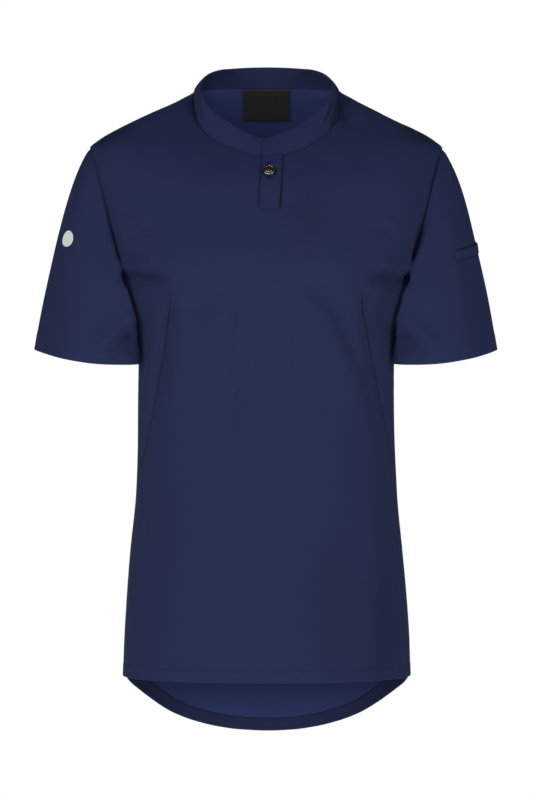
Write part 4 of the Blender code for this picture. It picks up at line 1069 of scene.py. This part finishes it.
def collar_grid():
    """Places round the neck in degrees, and the band's outer face there with its normals."""
    turns = np.concatenate([np.linspace(-LAP_ANGLE, -LAP_ANGLE + 1.2, 7)[:-1],
                            np.linspace(-LAP_ANGLE + 1.2, 360 + UNDERLAP_ANGLE - 1.2, 220),
                            np.linspace(360 + UNDERLAP_ANGLE - 1.2, 360 + UNDERLAP_ANGLE, 7)[1:]])
    feet, tops = [], []
    for turned_by in turns:
        right = turned_by > 180
        angle = 360 - turned_by if right else turned_by
        foot, normal = neck_form(math.radians(angle))
        top = cubic(column(COLLAR_TOP, "angle"), [row[1:] for row in COLLAR_TOP], [angle], rounded=True)[0]
        sink = 0.0
        if right:
            sink = smooth((UNDERLAP_FROM - angle) / (UNDERLAP_FROM - LAP_ANGLE - 4)) * (BAND + 0.0006)
            foot, top, normal = mirrored(foot), mirrored(top), mirrored(normal)
        feet.append(foot - normal * sink)
        tops.append(top - normal * sink)
    feet, tops = np.array(feet), np.array(tops)
    feet += unit(tops - feet) * 0.0002
    shares = np.concatenate([[0, .012, .03, .055, .085, .12], np.linspace(.18, .84, 9),
                             [.89, .925, .95, .968, .982, .992, 1.0]])
    grid = np.array([feet + (tops - feet) * share for share in shares])
    normals = unit(np.cross(np.gradient(grid, axis=1), np.gradient(grid, axis=0)))
    return turns, grid, normals


def between(grid, rows, columns):
    """Points of a grid at fractions of its rows and columns."""
    r = np.clip(np.floor(rows).astype(int), 0, grid.shape[0] - 2)
    c = np.clip(np.floor(columns).astype(int), 0, grid.shape[1] - 2)
    down, on = (rows - r)[:, None], (columns - c)[:, None]
    return ((1 - down) * ((1 - on) * grid[r, c] + on * grid[r, c + 1])
            + down * ((1 - on) * grid[r + 1, c] + on * grid[r + 1, c + 1]))


def make_collar(finish):
    turns, grid, normals = collar_grid()
    up = lengths(grid, 0)
    down = up[-1:] - up
    run = lengths(grid, 1)
    end = np.minimum(run, run[:, -1:] - run)
    share = up / up[-1:]
    out = 0.0009 * 4 * share * (1 - share) + 0.5 * relief(grid)
    out += dip(up, 0.0003, 0.0016)
    out += 0.00012 * ripple(run, 0.012) * (np.exp(-((up / 0.005) ** 2)) + 0.5 * np.exp(-((down / 0.004) ** 2)))
    outer = grid + normals * out[..., None]
    taper = rounded_edge(down, 0.0010) * rounded_edge(end, 0.0010)
    middle = outer - normals * BAND / 2
    half = normals * (BAND / 2 * taper)[..., None]
    wear = 0.55 * np.exp(-((down / 0.0012) ** 2)) + 0.4 * np.exp(-((end / 0.0012) ** 2))
    steps = np.linspace(0, 1, FOLD_STEPS + 1)
    routes = []
    for crease in COLLAR_CREASES:
        route = cubic(np.linspace(0, 1, len(crease.route)), crease.route, steps, rounded=True)
        columns = np.interp(route[:, 0], turns, np.arange(len(turns)))
        rows = np.interp(route[:, 1], share[:, 60], np.arange(len(share)))
        routes.append((between(grid, rows, columns), crease))
    made = shell("cloth_collar", middle + half, middle - half, finish, wear, crease=crease_marks(grid, routes),
                 reverse=0.0)
    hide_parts("collar_band")
    face = middle + half
    low = int(np.argmin(np.abs(up[:, 60] - 0.0016)))
    return made, [(face[low, 3:-3], normals[low, 3:-3])]


def placket_grid(inside):
    """Points on the front under the placket, from its stitched end up to the collar."""
    side = np.array([0, .0002, .0006, .0011, .0016, .0024]) / (PLACKET_RIGHT_X - PLACKET_LEFT_X)
    share = np.concatenate([side, np.linspace(0.14, 0.86, 27), 1 - side[::-1]])
    up = np.concatenate([[0, .0002, .0006, .0011, .0016, .0024], np.linspace(.0034, .060, 76)]) / 0.060
    lean = PLACKET_LEAN * (2 * up[:, None] - 1)
    xs = PLACKET_LEFT_X + (PLACKET_RIGHT_X - PLACKET_LEFT_X) * share + lean
    turn = np.radians(np.linspace(-30, 30, 121))
    neck_x = half_width(NECK_SIDE_Z) * arc(turn)[0]
    top = np.interp(xs, neck_x, neck_z(turn, FRONT)) + (0.0005 if not inside else -0.004)
    zs = PLACKET_BOTTOM_Z + (top - PLACKET_BOTTOM_Z) * up[:, None]
    return body_form(xs, zs, FRONT)


BUTTON_SHADE = Crease(0.0010, 1.0, 1.0, ())


def button_shadow_ring():
    """A ring of painted shadow on the placket round the button, a little more than one turn."""
    turn = np.linspace(-0.2, 1.2, FOLD_STEPS + 1) * 2 * math.pi
    radius = BUTTON_RADIUS + 0.0004
    return body_form(BUTTON_X + 0.001 + radius * np.cos(turn), BUTTON_Z - 0.0006 + radius * np.sin(turn), FRONT)[0]


def make_placket(name, node, inside, finish):
    points, normals = placket_grid(inside)
    run, up = lengths(points, 1), lengths(points, 0)
    across = run / run[:, -1:]
    end = np.minimum(np.minimum(run, run[:, -1:] - run), up)
    out = relief(points) + fall(points)
    if inside:
        out -= 0.0025
    else:
        lifted = smooth((across - 0.55) / 0.45) * smooth((up - 0.012) / 0.045)
        out += 0.0019 + 0.0008 * lifted + 0.0002 * ripple(up, 0.017)
        out += dip(run - 0.0016, 0.0002, 0.0006) + dip(up - 0.0018, 0.0002, 0.0006)
    outer = points + normals * out[..., None]
    thick = 0.0012
    middle = outer - normals * thick / 2
    half = normals * (thick / 2 * rounded_edge(end, 0.0007))[..., None]
    wear = 0.45 * np.exp(-((end / 0.0010) ** 2))
    # a ring of painted shadow round the button on the upper placket
    crease = crease_marks(points, [] if inside else [(button_shadow_ring(), BUTTON_SHADE)])
    made = shell(name, middle + half, middle - half, finish, wear, crease=crease)
    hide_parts(node)
    face = middle + half
    col, row = 4, 4
    lines = [(face[row:, col], normals[row:, col]), (face[row, col:-col], normals[row, col:-col]),
             (face[row:, -col - 1], normals[row:, -col - 1])]
    return made, face, normals, lines


def make_button():
    place, normal = body_form(BUTTON_X, BUTTON_Z, FRONT)
    base = place + normal * 0.0027
    tube = [(BUTTON_RADIUS - 0.0008 + 0.0008 * math.cos(a), 0.0014 + 0.0008 * math.sin(a))
            for a in np.linspace(-QUARTER, QUARTER * 1.4, 11)]
    rim = ((0, 0), (BUTTON_RADIUS * 0.6, 0.0), (BUTTON_RADIUS * 0.8, 0.0004), *tube,
           (RECESS_RADIUS + 0.0002, 0.0017), (RECESS_RADIUS, 0.0014), (RECESS_RADIUS - 0.0001, 0.0010),
           (0, 0.0010))
    rim_piece = turned("button_metal_rim", rim, base, normal, BRONZE)
    dome_radius = RECESS_RADIUS - 0.0002
    bulge = [(dome_radius * math.cos(a), 0.0017 + 0.0024 * math.sin(a)) for a in np.linspace(0, QUARTER, 18)[:-1]]
    dome = ((0, 0.0012), (dome_radius, 0.0012), *bulge, (0, 0.0041))
    dome_piece = turned("button_glossy_dome", dome, base, normal, DARK_BROWN)
    for piece, node, slot in ((rim_piece, "button_rim", "button_metal"), (dome_piece, "button_dome", "button_centre")):
        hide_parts(node)


def make_buttonhole():
    """The worked hole under the button: two rows of close stitches round a dark sheet painted as the shadow in the
    slit.
    """
    zs = np.linspace(BUTTON_Z - BUTTONHOLE_HALF, BUTTON_Z + BUTTONHOLE_HALF, 40)
    points, normals = body_form(BUTTON_X - 0.0004, zs, FRONT)
    base = points + normals * (relief(points) + fall(points) + 0.0020)[:, None]
    up = unit(np.gradient(base, axis=0))
    beside = np.cross(up, normals)
    ends = np.linspace(-1, 1, len(zs))
    open_by = 0.00035 * np.sqrt(np.clip(1 - ends**2, 0, 1)) + 0.00005
    grid = np.array([base + beside * open_by[:, None] * side for side in (-1, 0, 1)])
    lift = normals[None] * 0.00012
    # a dark sheet as painted shadow in the slit
    slit = shell("buttonhole_slit_shadow_sheet", grid + lift, grid - lift * 0.5, SLIT_SHADOW_SHEET, flip=True)
    centre, tangent, normal = along_line(base, normals, 0.00046)
    side = np.cross(tangent, normal)
    vertices, faces = [], []
    for way in (-1, 1):
        made, cells = spindles(centre + side * way * 0.00095 + normal * 0.00012, side, normal, 0.0014, 0.00020)
        faces += [[i + len(vertices) * len(made) for i in face] for face in cells]
        vertices.append(made)
    for at in (0, -1):
        bar = base[at] + normals[at] * 0.0002
        made, cells = spindles(np.array([bar, bar + up[at] * 0.0004]), np.array([beside[at]] * 2),
                               np.array([normals[at]] * 2), 0.0034, 0.00026)
        first = sum(len(v) for v in vertices)
        faces += [[i + first for i in face] for face in cells]
        vertices.append(made)
    made = add_mesh("buttonhole_stitches", np.concatenate(vertices), faces, THREAD)
    return [slit, made]


# ---------------------------------------------------------------- label, facing, badge, welt

def make_label():
    side = np.array([0, .0002, .0006, .0012, .0020, .0024, .003]) / (2 * LABEL_HALF_WIDTH)
    share = np.concatenate([side, np.linspace(0.09, 0.91, 22), 1 - side[::-1]])
    xs = -LABEL_HALF_WIDTH + 2 * LABEL_HALF_WIDTH * share
    height = NECK_BACK_Z - 0.0012 - LABEL_BOTTOM_Z
    up = np.concatenate([[0, .0002, .0006, .0012], np.linspace(.002, height, 24)])
    zs = (LABEL_BOTTOM_Z + up)[:, None] + 0 * xs
    points, normals = body_form(np.broadcast_to(xs, zs.shape), zs, BACK)
    edge = np.minimum(xs + LABEL_HALF_WIDTH, LABEL_HALF_WIDTH - xs)[None, :]
    folded = 0.0004 * (1 - smooth((edge - 0.0022) / 0.0008))
    stand = 0.0022 + 0.0012 * (1 - smooth(up / 0.022))[:, None] + 0.0002 * ripple(xs, 0.019)[None, :]
    face = points + normals * ((relief(points) + fall(points)) - stand - folded)[..., None]
    thick = 0.0007
    ends = np.minimum(np.broadcast_to(edge, zs.shape), up[:, None])
    half = normals * (thick / 2 * rounded_edge(ends, 0.0004))[..., None]
    wear = 0.3 * np.exp(-((ends / 0.0008) ** 2))
    made = shell("cloth_label", face + half, face - half, LABEL, wear, flip=True)
    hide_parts("neck_label")
    inner = face - half
    tack = [(inner[3:-2, k], -normals[3:-2, k]) for k in (5, -6)]
    threads = sewing("label_stitches", tack, BLACK_THREAD)
    return made, threads


def make_facing(outer, normals):
    """The tape inside the curved back hem, on the back's own points."""
    count = int(np.argmin(np.abs(np.array(HEM_STEPS) - 0.0149))) + 1
    inside = outer[1:count, 6:-6] - normals[1:count, 6:-6] * (CLOTH + 0.0001)
    up = lengths(inside, 0)
    edge = np.minimum(up, up[-1:] - up)
    along = lengths(inside, 1)
    n = normals[1:count, 6:-6]
    pucker = 0.00012 * ripple(along) + dip(up - FACING_STITCH + 0.0008, 0.0002, 0.0008)
    middle = inside - n * (TAPE / 2 + pucker)[..., None]
    half = n * (TAPE / 2 * rounded_edge(edge, 0.0006))[..., None]
    wear = 0.4 * np.exp(-((edge / 0.0010) ** 2))
    made = shell("cloth_hem_facing", middle + half, middle - half, NAVY_TAPE, wear, flip=True)
    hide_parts("back_hem_facing")
    face = middle - half
    lines = [(face[k, 2:-2], -n[k, 2:-2]) for k in (4, len(face) - 4)]
    return made, lines


def sleeve_frame(around, down):
    """The normal on the left sleeve, and shares for each metre along two directions on it."""
    step = 0.01
    ahead = (sleeve_form(around + step, down) - sleeve_form(around - step, down)) / (2 * step)
    lower = (sleeve_form(around, down + step) - sleeve_form(around, down - step)) / (2 * step)
    normal = unit(np.cross(lower, ahead))
    right = unit(ahead)
    low = np.cross(right, normal)
    shares = np.linalg.inv(np.array([[ahead @ right, lower @ right], [ahead @ low, lower @ low]]))
    return normal, shares


def make_badge():
    """A plain round badge on the right sleeve, slightly dished inside a raised rim."""
    around, down = sleeve_place(*BADGE_PLACE)
    normal, shares = sleeve_frame(around, down)
    segments = 96
    top = BADGE_WALL
    rings = [(0.0, 0.0), (0.5, 0.0), (0.97, 0.0), (0.992, 0.00012), (1.0, 0.0004), (0.996, top - 0.00018),
             (0.985, top - 0.00005), (0.965, top), (0.945, top), (0.925, top - 0.00008), (0.91, top - 0.00028),
             (0.88, top - 0.00032), (0.6, top - 0.00030), (0.3, top - 0.00030), (0.0, top - 0.00030)]
    turn = np.arange(segments) * 2 * math.pi / segments
    vertices = []
    for radius, height in rings:
        spread = turn if radius > 0 else turn[:1]
        move = radius * BADGE_RADIUS * np.stack([np.cos(spread), np.sin(spread)]).T @ shares.T
        at = sleeve_form(around + move[:, 0], down + move[:, 1])
        at = mirrored(at)
        lift = relief(at) + fall(at) + 0.0005
        vertices.append(at + mirrored(normal) * (height + lift)[:, None])
    vertices = np.concatenate(vertices)
    last, loops = len(vertices) - 1, len(rings) - 2
    faces = []
    for k in range(segments):
        n = (k + 1) % segments
        faces.append([0, 1 + k, 1 + n])
        for loop in range(loops - 1):
            a, b = 1 + loop * segments, 1 + (loop + 1) * segments
            faces.append([a + k, b + k, b + n, a + n])
        end = 1 + (loops - 1) * segments
        faces.append([last, end + n, end + k])
    made = add_mesh("sleeve_round_badge", vertices, faces, BADGE_WHITE)
    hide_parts("sleeve_badge")


def make_welt():
    """The pen pocket's welt: sewn down below and at its ends, its upper edge standing open."""
    around, _ = sleeve_place(*WELT_START)
    turn = np.concatenate([around + np.array([0, .0006, .0018, .0035, .006]),
                           np.linspace(around + 0.01, WELT_END_AROUND - 0.01, 40),
                           WELT_END_AROUND - np.array([.006, .0035, .0018, .0006, 0])])
    middle = WELT_START[1] + WELT_CLIMB * (turn - around) / (WELT_END_AROUND - around)
    up = np.array([-1, -.97, -.9, -.8, -.6, -.3, 0, .3, .6, .8, .9, .97, 1])
    downs = np.array([sleeve_down(turn, middle + WELT_HALF_HEIGHT * share) for share in up])
    arounds = np.broadcast_to(turn, downs.shape)
    points, normals = sleeve_form(arounds, downs), sleeve_normal(arounds, downs)
    run = lengths(points, 1)
    end = np.minimum(run, run[:, -1:] - run)
    rise = lengths(points, 0)
    edge = np.minimum(np.minimum(end, rise), rise[-1:] - rise)
    opened = smooth((up + 1) / 2)[:, None] * smooth(end / 0.012)
    out = relief(points) + fall(points) + 0.0011 + 0.0009 * opened
    outer = points + normals * out[..., None]
    thick = 0.0012
    centre = outer - normals * thick / 2
    half = normals * (thick / 2 * rounded_edge(edge, 0.0006))[..., None]
    wear = 0.4 * np.exp(-((edge / 0.0009) ** 2))
    made = shell("cloth_pocket_welt", centre + half, centre - half, NAVY, wear)
    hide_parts("pen_pocket_welt")
    face = centre + half
    lines = [(face[3, 3:-3], normals[3, 3:-3]), (face[3:-1, 3], normals[3:-1, 3]),
             (face[3:-1, -4], normals[3:-1, -4])]
    return made, lines


# ---------------------------------------------------------------- the garment

front, _, _, front_lines = make_panel("cloth_front", "front", FRONT, NAVY)
back, back_outer, back_normals, back_lines = make_panel("cloth_back", "back", BACK, NAVY)
left, left_lines = make_sleeve("cloth_sleeve_left", "sleeve_left", False, NAVY)
right, right_lines = make_sleeve("cloth_sleeve_right", "sleeve_right", True, NAVY)
collar, collar_lines = make_collar(NAVY)
upper, _, _, upper_lines = make_placket("cloth_placket_upper", "placket_upper", False, NAVY)
under, _, _, _ = make_placket("cloth_placket_under", "placket_under", True, NAVY)
make_button()
hole = make_buttonhole()
label, label_threads = make_label()
facing, facing_lines = make_facing(back_outer, back_normals)
make_badge()
welt, welt_lines = make_welt()

threads = {
    piece.name: sewing(piece.name.replace("cloth", "stitches"), lines, THREAD)
    for piece, lines in ((front, front_lines), (back, back_lines), (left, left_lines), (right, right_lines),
                         (collar, collar_lines), (upper, upper_lines), (facing, facing_lines),
                         (welt, welt_lines))
}

# the cut of what shows: width, length and flat area
Cut = namedtuple("Cut", "piece width length area hangs_from")
CUTS = (
    Cut(front, 0.455, 0.670, 0.262, [back]),
    Cut(back, 0.465, 0.760, 0.300, [front]),
    Cut(left, 0.395, 0.250, 0.056, [front, back]),
    Cut(right, 0.395, 0.250, 0.056, [front, back]),
    Cut(collar, 0.430, 0.030, 0.0118, [front, back]),
    Cut(upper, 0.0235, 0.066, 0.0015, [front]),
    Cut(under, 0.0235, 0.062, 0.0014, [front]),
    Cut(label, 0.054, 0.037, 0.0019, [back]),
    Cut(facing, 0.500, 0.0165, 0.0080, [back]),
    Cut(welt, 0.082, 0.0140, 0.0011, [left]),
)
for cut in CUTS:
    own = [threads[cut.piece.name]] if cut.piece.name in threads else []
    own += hole if cut.piece == upper else []
    own += [label_threads] if cut.piece == label else []

# ---------------------------------------------------------------- floor, light and camera

FLOOR_Z = -1.40
FLOOR_RADIUS = 3.0
turn = np.arange(96) * 2 * math.pi / 96
floor_mesh = bpy.data.meshes.new("floor")
floor_mesh.from_pydata([(FLOOR_RADIUS * math.cos(a), FLOOR_RADIUS * math.sin(a), FLOOR_Z) for a in turn],
                       [], [list(range(96))])
floor = bpy.data.objects.new("floor", floor_mesh)
bpy.context.scene.collection.objects.link(floor)
pale = Nodes("pale_floor")
pale.put(pale.shader.inputs["Base Color"], (0.80, 0.80, 0.80, 1.0))
pale.put(pale.shader.inputs["Roughness"], 0.9)
pale.put(pale.shader.inputs["Emission Color"], (1.0, 1.0, 1.0, 1.0))
pale.put(pale.shader.inputs["Emission Strength"], 0.30)
floor_mesh.materials.append(pale.material)

world = bpy.data.worlds.new("studio")
bpy.context.scene.world = world
world.use_nodes = True
tree = world.node_tree
tree.nodes.clear()
seen = tree.nodes.new("ShaderNodeLightPath")
ambient = tree.nodes.new("ShaderNodeBackground")
ambient.inputs["Color"].default_value = (1.0, 1.0, 1.0, 1.0)
ambient.inputs["Strength"].default_value = 0.05
backdrop = tree.nodes.new("ShaderNodeBackground")
backdrop.inputs["Color"].default_value = (1.0, 1.0, 1.0, 1.0)
backdrop.inputs["Strength"].default_value = 1.0
mix = tree.nodes.new("ShaderNodeMixShader")
output = tree.nodes.new("ShaderNodeOutputWorld")
tree.links.new(seen.outputs["Is Camera Ray"], mix.inputs["Fac"])
tree.links.new(ambient.outputs["Background"], mix.inputs[1])
tree.links.new(backdrop.outputs["Background"], mix.inputs[2])
tree.links.new(mix.outputs["Shader"], output.inputs["Surface"])


def softbox(name, place, aim, size, watts):
    light = bpy.data.lights.new(name, "AREA")
    light.shape = "RECTANGLE"
    light.size, light.size_y = size
    light.energy = watts
    made = bpy.data.objects.new(name, light)
    bpy.context.scene.collection.objects.link(made)
    way = np.array(aim) - np.array(place)
    turn_z = math.atan2(way[1], way[0]) - QUARTER
    lean = math.atan2(way[2], math.hypot(way[0], way[1]))
    made.location = place
    made.rotation_euler = (QUARTER + lean, 0.0, turn_z)
    return made


AIM = (0.0, 0.0, -0.36)
softbox("softbox_front", (-0.30, -3.3, 0.20), AIM, (1.2, 1.2), 35)
softbox("softbox_left", (-2.1, -2.0, 0.15), AIM, (1.2, 1.6), 30)
softbox("softbox_right", (2.1, -2.0, 0.10), AIM, (1.2, 1.6), 28)
softbox("softbox_back", (0.0, 3.4, -0.30), AIM, (2.2, 1.2), 26)

CAMERA_Y, CAMERA_Z, CAMERA_LENS = -3.5, -0.348, 139.4
camera_data = bpy.data.cameras.new("camera")
camera_data.sensor_fit = "VERTICAL"
camera_data.sensor_height = 36.0
camera_data.lens = CAMERA_LENS
camera = bpy.data.objects.new("camera", camera_data)
camera.location = (0.0, CAMERA_Y, CAMERA_Z)
camera.rotation_euler = (QUARTER, 0.0, 0.0)
bpy.context.scene.collection.objects.link(camera)
bpy.context.scene.camera = camera
bpy.context.scene.view_settings.view_transform = "Standard"
